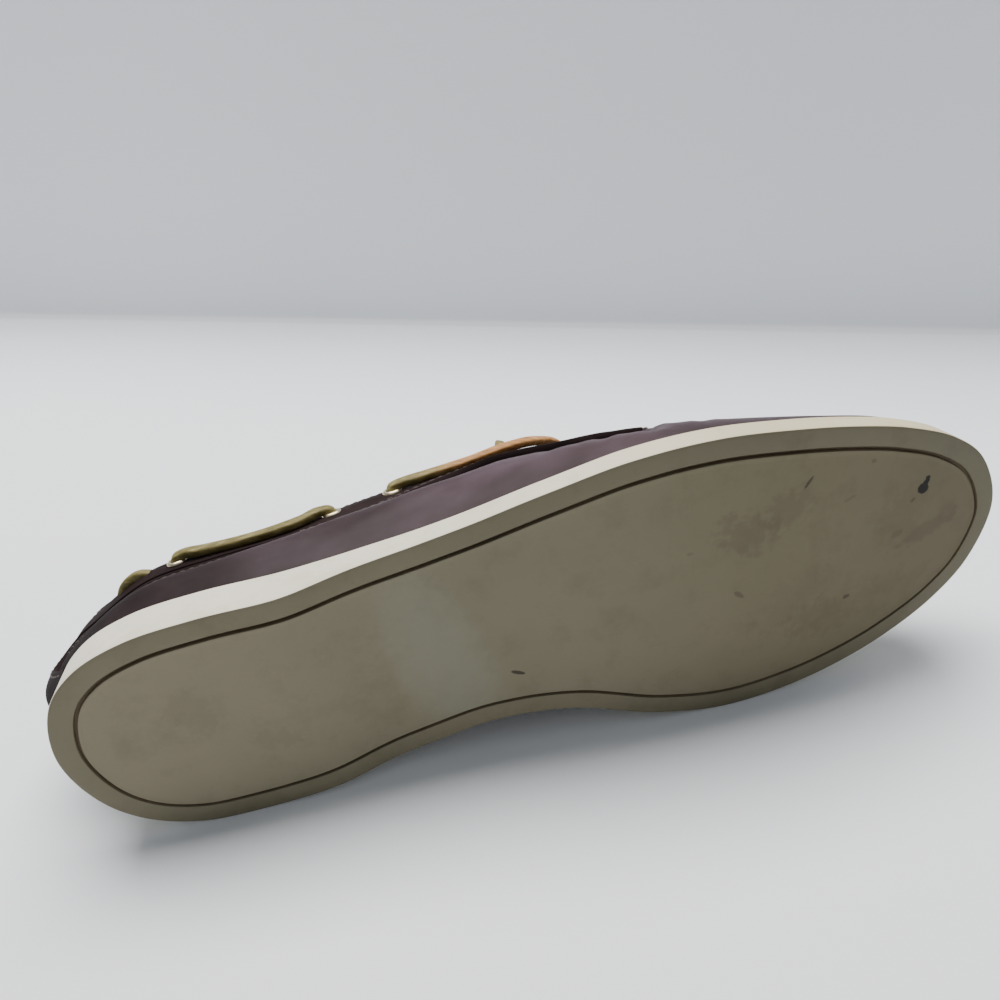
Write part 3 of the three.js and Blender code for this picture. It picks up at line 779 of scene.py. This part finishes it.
def crease_lift(points):
    """How far the creases push each point of the leather in or out."""
    lift = np.zeros(len(points))
    for side, x, z, half_long, half_wide, deep, slant in CREASES:
        c, s = math.cos(math.radians(slant)), math.sin(math.radians(slant))
        if side:
            du, dv = points[:, 0] - x, points[:, 2] - z
            here = np.sign(points[:, 1]) == side
        else:
            dv, du = points[:, 0] - x, points[:, 1]
            here = points[:, 2] > 37
        long_part, wide_part = (du * c + dv * s) / half_long, (dv * c - du * s) / half_wide
        trough = np.exp(-(wide_part**2))
        ridges = 0.45 * np.exp(-((np.abs(wide_part) - 1.7) ** 2) * 1.6)
        lift += deep * np.exp(-(long_part**2) * 1.4) * here * (ridges - trough)
    return lift


def creased(points, normals, share):
    """The points pushed in or out by a share of the creases."""
    return points + normals * (share * crease_lift(points))[:, None]


print("creases:", len(CREASES))

# %% [markdown]
# The wall is the moccasin's main piece: a strip of smooth leather that goes right round from the
# sole up to the seam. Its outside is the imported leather's own surface, and its upper edge swells
# a little, because it is folded and stitched there.

# %% Wall
SEAM_LEVEL = 0.5
WALL = 2.0
SECTION = 1 / ROUND  # one section of the tables, as a share of the way round
FACING_START, FACING_END = 5.0, 9.72


def section_of(t):
    """Sections from the heel tip, the same on both sides."""
    return np.minimum(t % 1.0, 1 - t % 1.0) / SECTION


def wall_place(t, up):
    """The folded upper edge swells over a groove, and the wall steps in behind the facing."""
    level = up * SEAM_LEVEL
    point, normal = leather(t, level)
    swell = 0.35 * np.exp(-(((up - 0.955) / 0.03) ** 2)) - 0.22 * np.exp(-(((up - 0.885) / 0.022) ** 2))
    under_facing = np.interp(section_of(t), (7.7, 8.5, FACING_END, FACING_END + 0.12), (0, 2.4, 2.6, 0))
    step_in = under_facing * np.clip((up - 0.3) / 0.45, 0, 1) ** 1.3
    creases = crease_lift(point) * np.sin(math.pi * np.clip(up, 0, 1)) ** 0.5
    return point + normal * (swell - step_in + creases)[:, None], normal


wall = panel("wall", ROUND_STEPS, 64, wall_place, WALL, closed=True, bevel=0.35)
finish_piece(wall, [LEATHER])

# %% [markdown]
# Above the seam lies the thinner leather of collar, facings and plug. It starts just inside the
# wall's edge, tucked under it, and comes up flush above it.

# %% Crown
CROWN_START = 0.47


def crown_place(t, up):
    """It is tucked in below the seam, and creases only above it."""
    level = CROWN_START + up * (1 - CROWN_START)
    point, normal = leather(t, level)
    tuck = -1.9 * np.clip((0.56 - level) / 0.06, 0, 1) ** 1.5
    return point + normal * (tuck + crease_lift(point) * (level > 0.55))[:, None], normal


crown = panel("crown", ROUND_STEPS, 72, crown_place, 1.8, closed=True)
finish_piece(crown, [DARK_LEATHER], replaced=["upper"])

# %% [markdown]
# Over the crown go the thicker outer pieces: on each side a facing that carries the lace from the
# collar to the throat, and round the heel a soft collar band with a backstay down its middle.
# Each is a panel whose outline is given by a start and an end level at every t.

# %% Facings, collar band and backstay
SOFT_CREASE = 0.6  # a second layer of leather creases less
SIDES = ((-1, "lateral"), (1, "medial"))


def side_run(side, sections):
    """t of a place counted in sections from the heel, on the outer (-1) or inner (1) side."""
    run = np.asarray(sections, float) * SECTION
    return run if side < 0 else 1 - run


def strip(name, side, start, end, low, high, lift, wall, columns, rows):
    """A panel between two sections on one side; low, high and lift may change along it."""
    def place(across, up):
        t = side_run(side, start + (end - start) * across)
        bottom_level = between(low, across)
        level = bottom_level + (between(high, across) - bottom_level) * up
        point, normal = leather(t, level, lift(t, level) if callable(lift) else between(lift, across))
        return creased(point, normal, SOFT_CREASE), normal

    finish_piece(panel(name, columns, rows, place, wall, bevel=0.4), [DARK_LEATHER])


FACING_LOW = (0.52, 0.48, 0.45, 0.44, 0.44, 0.44)
FACING_TOP = 0.97
FACING_LIES = 0.7  # off the leather, where it lies close
FLARE = [
    # section, how far the facing's lower edge stands off
    (5, 0.4), (6, 1.0), (7, 2.6), (7.7, 3.2), (8.1, 2.4), (8.5, 1.3), (9.72, 0.6),
]


def facing_lift(t, level):
    """The facing flares out along its lower edge and lies close near the eyelets."""
    run = section_of(t)
    edge = np.interp(run, *np.array(FLARE, float).T)
    low = np.interp(run, np.linspace(FACING_START, FACING_END, len(FACING_LOW)), FACING_LOW)
    share = np.clip((level - low) / (FACING_TOP - low) / 0.75, 0, 1)
    return FACING_LIES + (edge - FACING_LIES) * (0.5 + 0.5 * np.cos(share * math.pi))


for side, side_name in SIDES:
    strip(f"facing_{side_name}", side, FACING_START, FACING_END,
          low=FACING_LOW, high=(0.965, 0.97, 0.97, 0.972, 0.972, 0.972),
          lift=facing_lift, wall=2.5, columns=100, rows=30)
    strip(f"collar_band_{side_name}", side, 0.45, FACING_START + 0.12,
          low=(0.6, 0.59, 0.575, 0.565), high=(0.965, 0.965, 0.965, 0.965),
          lift=(0.45, 0.5, 0.5, 0.42), wall=1.4, columns=80, rows=24)

# %% [markdown]
# The backstay covers the seam at the heel. It is wide and thick at the sole, where it shows in
# the shoe's outline, and slims towards the collar.


# %% Backstay
def backstay_shape(level):
    """Half width, as a share of the way round, and how far it lifts off the leather."""
    down = np.clip(1 - level / 0.9, 0, 1)
    return SECTION * (0.5 + 0.75 * down**1.8), 1.0 + 0.9 * down**1.2


def backstay_place(across, up):
    """It is a little crowned between its two edges."""
    level = 0.03 + 0.92 * up
    half, lift = backstay_shape(level)
    return leather((across - 0.5) * 2 * half, level, lift + 0.25 * (1 - (2 * across - 1) ** 2))


finish_piece(panel("backstay", 30, 60, backstay_place, 2.2, bevel=0.35), [DARK_LEATHER])

# %% [markdown]
# A rolled binding finishes the topline, and a gathered ridge joins plug and wall round the toes:
# that is the moccasin seam. Both are tubes laid along a line of the surface. A tube is a grid too,
# bent round a centre line: its columns follow the line and its rows go round the section.


# %% Tubes along a line
def tube(name, centre, side_way, out_way, half_wide, half_high, around=12, closed=False, square=1.0):
    """A tube with an oval section, squarer the smaller square is; all but the name may change along it."""
    count = len(centre)
    columns = count if closed else count - 1
    obj, across, up = grid(name, columns, around)
    column = np.rint(across * columns).astype(int) % count
    angle = up * 2 * math.pi
    cosine, sine = (np.sign(v) * np.abs(v) ** square for v in (np.cos(angle), np.sin(angle)))
    wide = np.broadcast_to(half_wide, (count,))[column]
    high = np.broadcast_to(half_high, (count,))[column]
    point = (centre[column] + side_way[column] * (cosine * wide)[:, None]
             + out_way[column] * (sine * high)[:, None])
    set_vertices(obj, lay(point))
    in_edit_mode(obj, lambda: bpy.ops.mesh.remove_doubles(threshold=1e-5))
    if not closed:
        in_edit_mode(obj, lambda: bpy.ops.mesh.select_all(action="DESELECT"),
                     bpy.ops.mesh.select_non_manifold, lambda: bpy.ops.mesh.fill_holes(sides=0))
    in_edit_mode(obj, lambda: bpy.ops.mesh.normals_make_consistent(inside=False))
    return obj


def line_on_leather(t, level, lift):
    """Centre points, side directions and outward directions of a line on the surface."""
    point, normal = leather(t, level, lift)
    along = unit(np.gradient(point, axis=0))
    return point, unit(np.cross(normal, along)), normal


print("tube helpers ready")

# %% Topline binding
top, top_normal = leather(np.arange(360) / 360, 0.992, -0.9)
top_side = unit(np.cross(top_normal, unit(np.roll(top, -1, 0) - np.roll(top, 1, 0))))
binding = tube("topline_binding", top, top_side, top_normal, 1.5, 1.75, closed=True)
finish_piece(binding, [DARK_LEATHER], smooth_angle=60)

# %% Moccasin ridge
RIDGE_START, RIDGE_END = 9.6, ROUND - 9.6
STITCH_PITCH = 5.2
t_fine = np.linspace(RIDGE_START, RIDGE_END, 900) * SECTION
fine = leather_bare(t_fine, SEAM_LEVEL)
run = run_length(fine)
stitches = int(run[-1] / STITCH_PITCH)
print("moccasin seam:", round(float(run[-1])), "mm,", stitches, "stitches")

PER_STITCH = 9  # points of the ridge from one stitch to the next
number = np.arange(stitches * PER_STITCH + 1)
ridge_t = np.interp(np.linspace(0, run[-1], len(number)), run, t_fine)
end_fade = np.clip(np.minimum(number, number[::-1]) / (2 * PER_STITCH), 0.15, 1)
centre, sideways, outward = line_on_leather(ridge_t, SEAM_LEVEL + 0.04, -0.1)
pucker = 0.5 - 0.5 * np.cos(number / PER_STITCH * 2 * math.pi)
ridge = tube("moccasin_ridge", centre, sideways, outward, (1.75 + 0.35 * pucker) * end_fade,
             (1.35 + 0.4 * pucker) * end_fade, around=14)
finish_piece(ridge, [LEATHER], smooth_angle=60)

# %% [markdown]
# Thread is what makes a seam believable. One stitch is modelled as a short rounded bar, and it is
# copied along a line with each copy's own place worked out from the surface below it. All copies
# of a row are joined into one mesh, because hundreds of separate objects would be slow.


# %% Stitches
def one_stitch(name, length, width, high):
    """A rounded bar along X, standing on Z = 0, made from a cube subdivided, smoothed round and bent down at
    its ends.
    """
    bpy.ops.object.select_all(action="DESELECT")
    bpy.ops.mesh.primitive_cube_add(size=1, location=(0, 0, 0))
    obj = bpy.context.active_object
    obj.name = name
    in_edit_mode(
        obj,
        lambda: bpy.ops.transform.resize(value=(length, width, high)),
        lambda: bpy.ops.mesh.subdivide(number_cuts=2),
        lambda: bpy.ops.mesh.vertices_smooth(factor=0.6, repeat=2),
    )
    shape = get_vertices(obj)
    faces = [tuple(p.vertices) for p in obj.data.polygons]
    shape *= np.array([length, width, high]) / np.ptp(shape, axis=0)
    shape[:, 2] += high * 0.25 - high * 0.55 * (2 * shape[:, 0] / length) ** 4
    bpy.data.objects.remove(obj)
    return shape, faces


def sew(name, stitch, points, along, outward, material, slant=0.0):
    """Copies one stitch to each point, turned to the line and the surface, as one joined mesh."""
    shape, faces = stitch
    across = unit(np.cross(outward, along))
    along = unit(np.cross(across, outward))
    c, s = math.cos(slant), math.sin(slant)
    forward, side = along * c + across * s, across * c - along * s
    placed = (points[:, None, :] + shape[None, :, 0, None] * forward[:, None, :]
              + shape[None, :, 1, None] * side[:, None, :] + shape[None, :, 2, None] * outward[:, None, :])
    count = len(shape)
    corners = [tuple(index + count * copy for index in face) for copy in range(len(points)) for face in faces]
    mesh = bpy.data.meshes.new(name)
    mesh.from_pydata(lay(placed.reshape(-1, 3)).tolist(), [], corners)
    obj = bpy.data.objects.new(name, mesh)
    bpy.context.scene.collection.objects.link(obj)
    in_edit_mode(obj, lambda: bpy.ops.mesh.normals_make_consistent(inside=False))
    finish_piece(obj, [material], smooth_angle=60)


FINE_PITCH = 2.9


def sew_row(name, t, level, lift):
    """A row of fine stitches along a line given by t, level and lift at a few even stops."""
    fine_run = np.linspace(0, 1, 700)
    ts, levels = between(t, fine_run), between(level, fine_run)
    points, normals = leather(ts, levels, lift(ts, levels) if callable(lift) else between(lift, fine_run))
    points = creased(points, normals, SOFT_CREASE)
    length = run_length(points)
    where = np.arange(FINE_PITCH / 2, length[-1], FINE_PITCH)
    placed, along, outward = (np.stack([np.interp(where, length, column) for column in values.T], -1)
                              for values in (points, unit(np.gradient(points, axis=0)), normals))
    sew(name, FINE_STITCH, placed, unit(along), unit(outward), THREAD)


print("fine stitches lie", FINE_PITCH, "mm apart")

# %% [markdown]
# The moccasin seam is sewn by hand: thick stitches cross the ridge at a slant, one to each
# pucker. Every other seam is a machine row of fine stitches that creases with its leather.

# %% Rows of stitches
FINE_STITCH = one_stitch("fine_stitch", 2.1, 0.55, 0.45)
MOC_STITCH = one_stitch("moccasin_stitch", 4.6, 1.0, 0.9)
stitch_at = np.arange(stitches) * PER_STITCH + PER_STITCH // 2
sew("moccasin_stitches", MOC_STITCH, centre[stitch_at] + outward[stitch_at] * 1.15, sideways[stitch_at],
    outward[stitch_at], MOC_THREAD, slant=0.28)

FACING_SPAN = (FACING_START + 0.1, FACING_END - 0.15)
ROWS = [
    # name, first and last section, levels and lifts at even stops
    ("facing", FACING_SPAN, (0.57, 0.54, 0.52, 0.52, 0.52, 0.52), facing_lift),
    ("facing_top", FACING_SPAN, (0.93, 0.935, 0.935, 0.935, 0.935, 0.935), facing_lift),
    ("wall", (0.75, 9.1), (0.462,), (0.12,)),
    ("collar", (0.6, FACING_START), (0.925,), (0.5,)),
]
for side, side_name in SIDES:
    for row_name, span, levels, lift in ROWS:
        sew_row(f"{row_name}_stitches_{side_name}", side_run(side, span), levels, lift)
levels = np.linspace(0.07, 0.93, 12)
half, lift = backstay_shape(levels)
for side, side_name in ((-1, "outer"), (1, "inner")):
    sew_row(f"backstay_stitches_{side_name}", -side * (half - 0.16 * SECTION) % 1.0, levels, lift)

# %% [markdown]
# The tongue lies under the lacing, sewn down in front and free at its upper end. It is a saddle:
# highest along the middle and falling to both sides.

# %% Tongue
TONGUE = [
    # x, half width, z, drop to the sides
    (196, 15, 49.5, 4), (186, 19, 53.6, 7), (172, 22, 58.5, 10), (156, 24, 62.8, 12),
    (140, 24, 68.4, 12), (126, 22, 74.4, 9), (117, 20, 78.4, 7), (112, 13, 80.6, 3),
]


def tongue_place(across, up):
    """Points of the tongue's top; its outward direction is simply up."""
    x, half, z, drop = (between(column, up) for column in zip(*TONGUE))
    from_middle = 2 * across - 1
    points = np.stack([x, from_middle * half, z - drop * from_middle**2], -1)
    return points, np.tile((0.0, 0.0, 1.0), (len(x), 1))


tongue = panel("tongue", 28, 42, tongue_place, 1.9, bevel=0.5)
finish_piece(tongue, [DARK_LEATHER], replaced=["tongue"])

# %% [markdown]
# Pale brass is a plain metal whose colour and polish vary with one fine noise.

# %% Brass
BRASS, tree, shader, place = new_material("pale_brass")
rub = noise(tree, place, 700, 3, 0.6)
brass_tone = ramp(tree, rub, ((0.3, (0.50, 0.40, 0.22)), (0.6, (0.80, 0.72, 0.52))))
tree.links.new(brass_tone, shader.inputs["Base Color"])
tree.links.new(grey(tree, rub, 0.22, 0.45), shader.inputs["Roughness"])
shader.inputs["Metallic"].default_value = 1.0
bump(tree, shader, (rub, 0.0001, 0.3))
print("brass:", BRASS.name)

# %% [markdown]
# Eyelets are small rings pressed round each hole. A circle is extruded stop by stop, up the
# barrel and over the flange, then its two open loops are bridged. One ring is modelled, and each
# place gets a copy with its own mesh.

# %% Eyelets
EYELET_STOPS = [
    # radius, height over the leather
    (1.9, -3.0), (1.9, 0.3), (2.0, 0.6), (2.3, 0.82), (2.75, 0.74), (3.15, 0.42), (3.3, 0.02),
    (2.45, -0.05), (2.3, -0.3), (2.3, -3.0),
]


def one_eyelet():
    """The ring, standing on Z = 0, as an object in millimetres."""
    radius, height = EYELET_STOPS[0]
    bpy.ops.object.select_all(action="DESELECT")
    bpy.ops.mesh.primitive_circle_add(vertices=28, radius=radius, location=(0, 0, height))
    obj = bpy.context.active_object
    bpy.ops.object.mode_set(mode="EDIT")
    bpy.ops.mesh.select_all(action="SELECT")
    for next_radius, next_height in EYELET_STOPS[1:]:
        bpy.ops.mesh.extrude_edges_move(TRANSFORM_OT_translate={"value": (0, 0, next_height - height)})
        bpy.ops.transform.resize(value=(next_radius / radius, next_radius / radius, 1))
        radius, height = next_radius, next_height
    bpy.ops.mesh.select_all(action="DESELECT")
    bpy.ops.mesh.select_non_manifold()
    bpy.ops.mesh.bridge_edge_loops()
    bpy.ops.object.mode_set(mode="OBJECT")
    choose_only(obj)
    bpy.ops.object.transform_apply(location=True, rotation=True, scale=True)
    return obj


EYELETS = {
    # name: (x, z, how far it stands off the leather)
    "rear": (38.5, 45.5, 0.45), "middle": (88.5, 47.5, 0.45), "front": (109, 49.5, facing_lift),
    "upper": (147, 63.2, facing_lift), "lower": (167, 60.2, facing_lift),
}
model_eyelet = one_eyelet()
ring_shape = get_vertices(model_eyelet)
spots = {}
for side, side_name in SIDES:
    for name, (x, z, rise) in EYELETS.items():
        point, normal = spots[side, name] = spot_on(side, x, z, rise)
        across_dir = unit(np.cross(normal, (1.0, 0, 0)))
        directions = np.array([unit(np.cross(across_dir, normal)), across_dir, normal])
        copy = model_eyelet.copy()
        copy.data = model_eyelet.data.copy()
        copy.name = f"eyelet_ring_{side_name}_{name}"
        bpy.context.scene.collection.objects.link(copy)
        set_vertices(copy, lay(point + ring_shape @ directions))
        in_edit_mode(copy, lambda: bpy.ops.mesh.normals_make_consistent(inside=False))
        finish_piece(copy, [BRASS], replaced=[f"eyelet_{side_name}_{name}"], smooth_angle=50)
bpy.data.objects.remove(model_eyelet)

# %% [markdown]
# The lace is a square-cut thong of oiled rawhide, 3 mm wide. New hide is orange tan; where it has
# been handled it goes olive brown, mostly towards the heel, and its cut edges are darker. The
# colour follows the thong, so it is mixed by how far forward a point lies, broken up with noise.

# %% Rawhide
def make_rawhide(name, turns_from, turns_to):
    """Olive behind turns_from and tan ahead of turns_to, in metres from the heel tip."""
    material, tree, shader, place = new_material(name)
    along = standing_coordinates(tree, place)[0]
    patches = noise(tree, place, 70, 4, 0.6)
    fibres = noise(tree, place, 900, 4, 0.6, stretch=(0.25, 1, 1))
    shifted = maths(tree, "ADD", along, maths(tree, "MULTIPLY", maths(tree, "SUBTRACT", patches, 0.5), 0.05))
    forward = grey(tree, shifted, 0.0, 1.0, turns_from, turns_to)
    olive, tan = (ramp(tree, fibres, tuple(zip((0.3, 0.55, 0.75), colors))) for colors in (
        ((0.10, 0.080, 0.022), (0.20, 0.165, 0.055), (0.33, 0.29, 0.12)),
        ((0.24, 0.105, 0.03), (0.46, 0.225, 0.075), (0.60, 0.34, 0.15))))
    tree.links.new(mix(tree, forward, olive, tan), shader.inputs["Base Color"])
    shader.inputs["Roughness"].default_value = 0.55
    shader.inputs["Specular IOR Level"].default_value = 0.3
    bump(tree, shader, (fibres, 0.0003, 0.5))
    return material


RAWHIDE = make_rawhide("rawhide_thong", 0.112, 0.140)
AGED_RAWHIDE = make_rawhide("aged_rawhide", 0.145, 0.19)
print("rawhide:", RAWHIDE.name, AGED_RAWHIDE.name)

# %% [markdown]
# Each visible run of lace comes up through one eyelet, lies along the shoe and dives into the
# next. The runs are tubes with a squared section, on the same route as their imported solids: x, z
# and how far the middle of the lace stands off the leather.

# %% Lace runs
THONG_HALF_WIDE, THONG_HALF_HIGH = 1.75, 1.4
RUNS = {
    # name: (eyelets at its ends, [(x, z, stand-off outer side, stand-off inner side)])
    "heel": ((None, None), [(20, 47.8, 0.9, 0.9), (22.2, 47.6, 1.5, 1.5), (24.4, 47.4, 1.5, 1.5),
                            (26.6, 47.1, 0.9, 0.9)]),
    "rear": (("rear", "middle"), [(42, 44.9, 2.5, 2.5), (47, 44.2, 2.2, 2.2), (63, 43.4, 1.9, 1.9),
                                  (79, 45.2, 2.2, 2.2), (85, 46.8, 2.6, 2.6)]),
    "front": (("front", "lower"), [(112.5, 49.4, 2.9, 2.7), (118, 49.6, 3.0, 2.6), (134, 50.8, 3.4, 2.3),
                                   (150, 53.0, 4.9, 2.3), (160, 56.0, 5.6, 2.6), (167.5, 58.9, 5.4, 2.9)]),
}


def thong(name, points, side_hint, steps):
    """A squared tube through the points. Its width starts along side_hint and is carried along
    without twisting."""
    centre = smooth(points, np.linspace(0, 1, steps))
    tangent = unit(np.gradient(centre, axis=0))
    side_way = np.empty_like(centre)
    side = np.asarray(side_hint, float)
    for k, direction in enumerate(tangent):
        side = unit(side - direction * np.dot(side, direction))
        side_way[k] = side
    wobble = (1 + 0.05 * np.sin(np.linspace(0, steps * 0.35, steps))
              + 0.03 * np.sin(np.linspace(2, steps * 0.9, steps)))
    obj = tube(name, centre, side_way, np.cross(tangent, side_way), THONG_HALF_WIDE * wobble, THONG_HALF_HIGH,
               around=16, square=0.55)
    return obj, centre


for side, side_name in SIDES:
    for run_name, ((first, last), rows) in RUNS.items():
        lying = [spot_on(side, x, z, outer if side < 0 else inner) for x, z, outer, inner in rows]
        points = [point for point, _ in lying]
        hint = unit(np.mean([normal for _, normal in lying], axis=0))
        if first:
            (start, start_normal), (end, end_normal) = spots[side, first], spots[side, last]
            points = [start - 2.6 * start_normal, start + start_normal, *points,
                      end + end_normal, end - 2.6 * end_normal]
        else:
            (first_x, first_z), (last_x, last_z) = rows[0][:2], rows[-1][:2]
            points = [spot_on(side, first_x - 2.2, first_z, -0.6)[0], *points,
                      spot_on(side, last_x + 2.2, last_z, -0.6)[0]]
        sideways = np.cross(hint, unit(points[-1] - points[0]))
        obj = thong(f"thong_{run_name}_{side_name}", np.array(points), sideways, 26 + 7 * len(rows))[0]
        finish_piece(obj, [RAWHIDE], replaced=[f"lace_{run_name}_{side_name}"], smooth_angle=50)

# %% [markdown]
# In front the two halves of the lace come up through the lower eyelets from inside, cross over
# the tongue, go back under the leather and out through the upper eyelets, where each is cut off
# short.

# %% Crossing and cut ends
END_RISE = np.array([[0.8, 1.6, 3.3], [1.8, 2.4, 6.6], [2.4, 1.8, 9.7]])


def cut_end_points(side, over):
    """From the other side's lower eyelet to the cut end; over is how high it lies at the crossing."""
    start, start_normal = spots[-side, "lower"]
    eyelet, normal = spots[side, "upper"]
    out = eyelet + 2.0 * normal
    return np.array([start - 4.6 * start_normal, (162, -side * 10.5, 61.2 + over), (157, 0, 64.4 + over),
                     (151.5, side * 9.5, 63.4 + over), eyelet - 4.4 * normal, eyelet - 1.2 * normal, out,
                     *(out + END_RISE * (1, side, 1))])


for (side, side_name), over in zip(SIDES, (1.6, -0.6)):
    obj, centre = thong(f"thong_end_{side_name}", cut_end_points(side, over), (1.0, 0, 0), 90)
    replaced = [f"lace_end_{side_name}"] + (["lace_cross"] if side < 0 else [])
    finish_piece(obj, [AGED_RAWHIDE], replaced=replaced, smooth_angle=50)

# %% [markdown]
# The shoe lies on a plain white sweep, a floor that turns up into a wall. The turn is tight, so
# that a clear line shows between the two, and the wall is turned to run level in the view.

# %% Floor and wall
PAPER, tree, shader, place = new_material("white_sweep")
paper_tone = ramp(tree, noise(tree, place, 3, 2), ((0.3, (0.85, 0.875, 0.91)), (0.7, (0.88, 0.905, 0.94))))
tree.links.new(paper_tone, shader.inputs["Base Color"])
shader.inputs["Roughness"].default_value = 0.7
sweep, across, up = grid("white_sweep", 8, 60)
SWEEP_WIDTH, WALL_TURN = 5, math.radians(25)
PROFILE = [
    # share of the way up the grid, depth, height
    (0, -2.5, 0.0), (0.6, 0.304, 0.0), (0.68, 0.310, 0.001), (0.76, 0.313, 0.004), (0.84, 0.314, 0.010),
    (1.0, 0.314, 0.30),
]
shares, depths, heights = zip(*PROFILE)
wide, depth = (across - 0.5) * SWEEP_WIDTH, np.interp(up, shares, depths)
set_vertices(sweep, np.stack([wide * math.cos(WALL_TURN) + depth * math.sin(WALL_TURN),
                              depth * math.cos(WALL_TURN) - wide * math.sin(WALL_TURN),
                              np.interp(up, shares, heights)], -1))
face_outwards(sweep, np.tile((0, 0, 1.0), (len(across), 1)))
sweep.data.materials.append(PAPER)
choose_only(sweep)
bpy.ops.object.shade_smooth()
print("floor and wall:", len(sweep.data.polygons), "faces")

# %% [markdown]
# One very large soft light hangs above and behind the shoe, so the sole's edge is bright and its
# underside falls into soft shade, and the pale surroundings fill that shade in.

# %% Lights
LIGHT_PLACE, LIGHT_TARGET = Vector((0.0, 0.5, 1.5)), Vector((0, 0.2, 0))
sky = bpy.data.lights.new("sky_light", "AREA")
sky.shape = "RECTANGLE"
sky.size, sky.size_y = 1.6, 0.8
sky.energy = 54
sky.color = (1.0, 0.985, 0.96)
light = bpy.data.objects.new("sky_light", sky)
bpy.context.scene.collection.objects.link(light)
aim = (LIGHT_TARGET - LIGHT_PLACE).to_track_quat("-Z", "Y").to_matrix().to_4x4()
light.matrix_world = Matrix.Translation(LIGHT_PLACE) @ aim
world = bpy.data.worlds.new("studio")
world.use_nodes = True
background = world.node_tree.nodes["Background"]
background.inputs["Color"].default_value = (0.78, 0.82, 0.88, 1)
background.inputs["Strength"].default_value = 0.36
bpy.context.scene.world = world
print("lit by one soft light and a pale world")
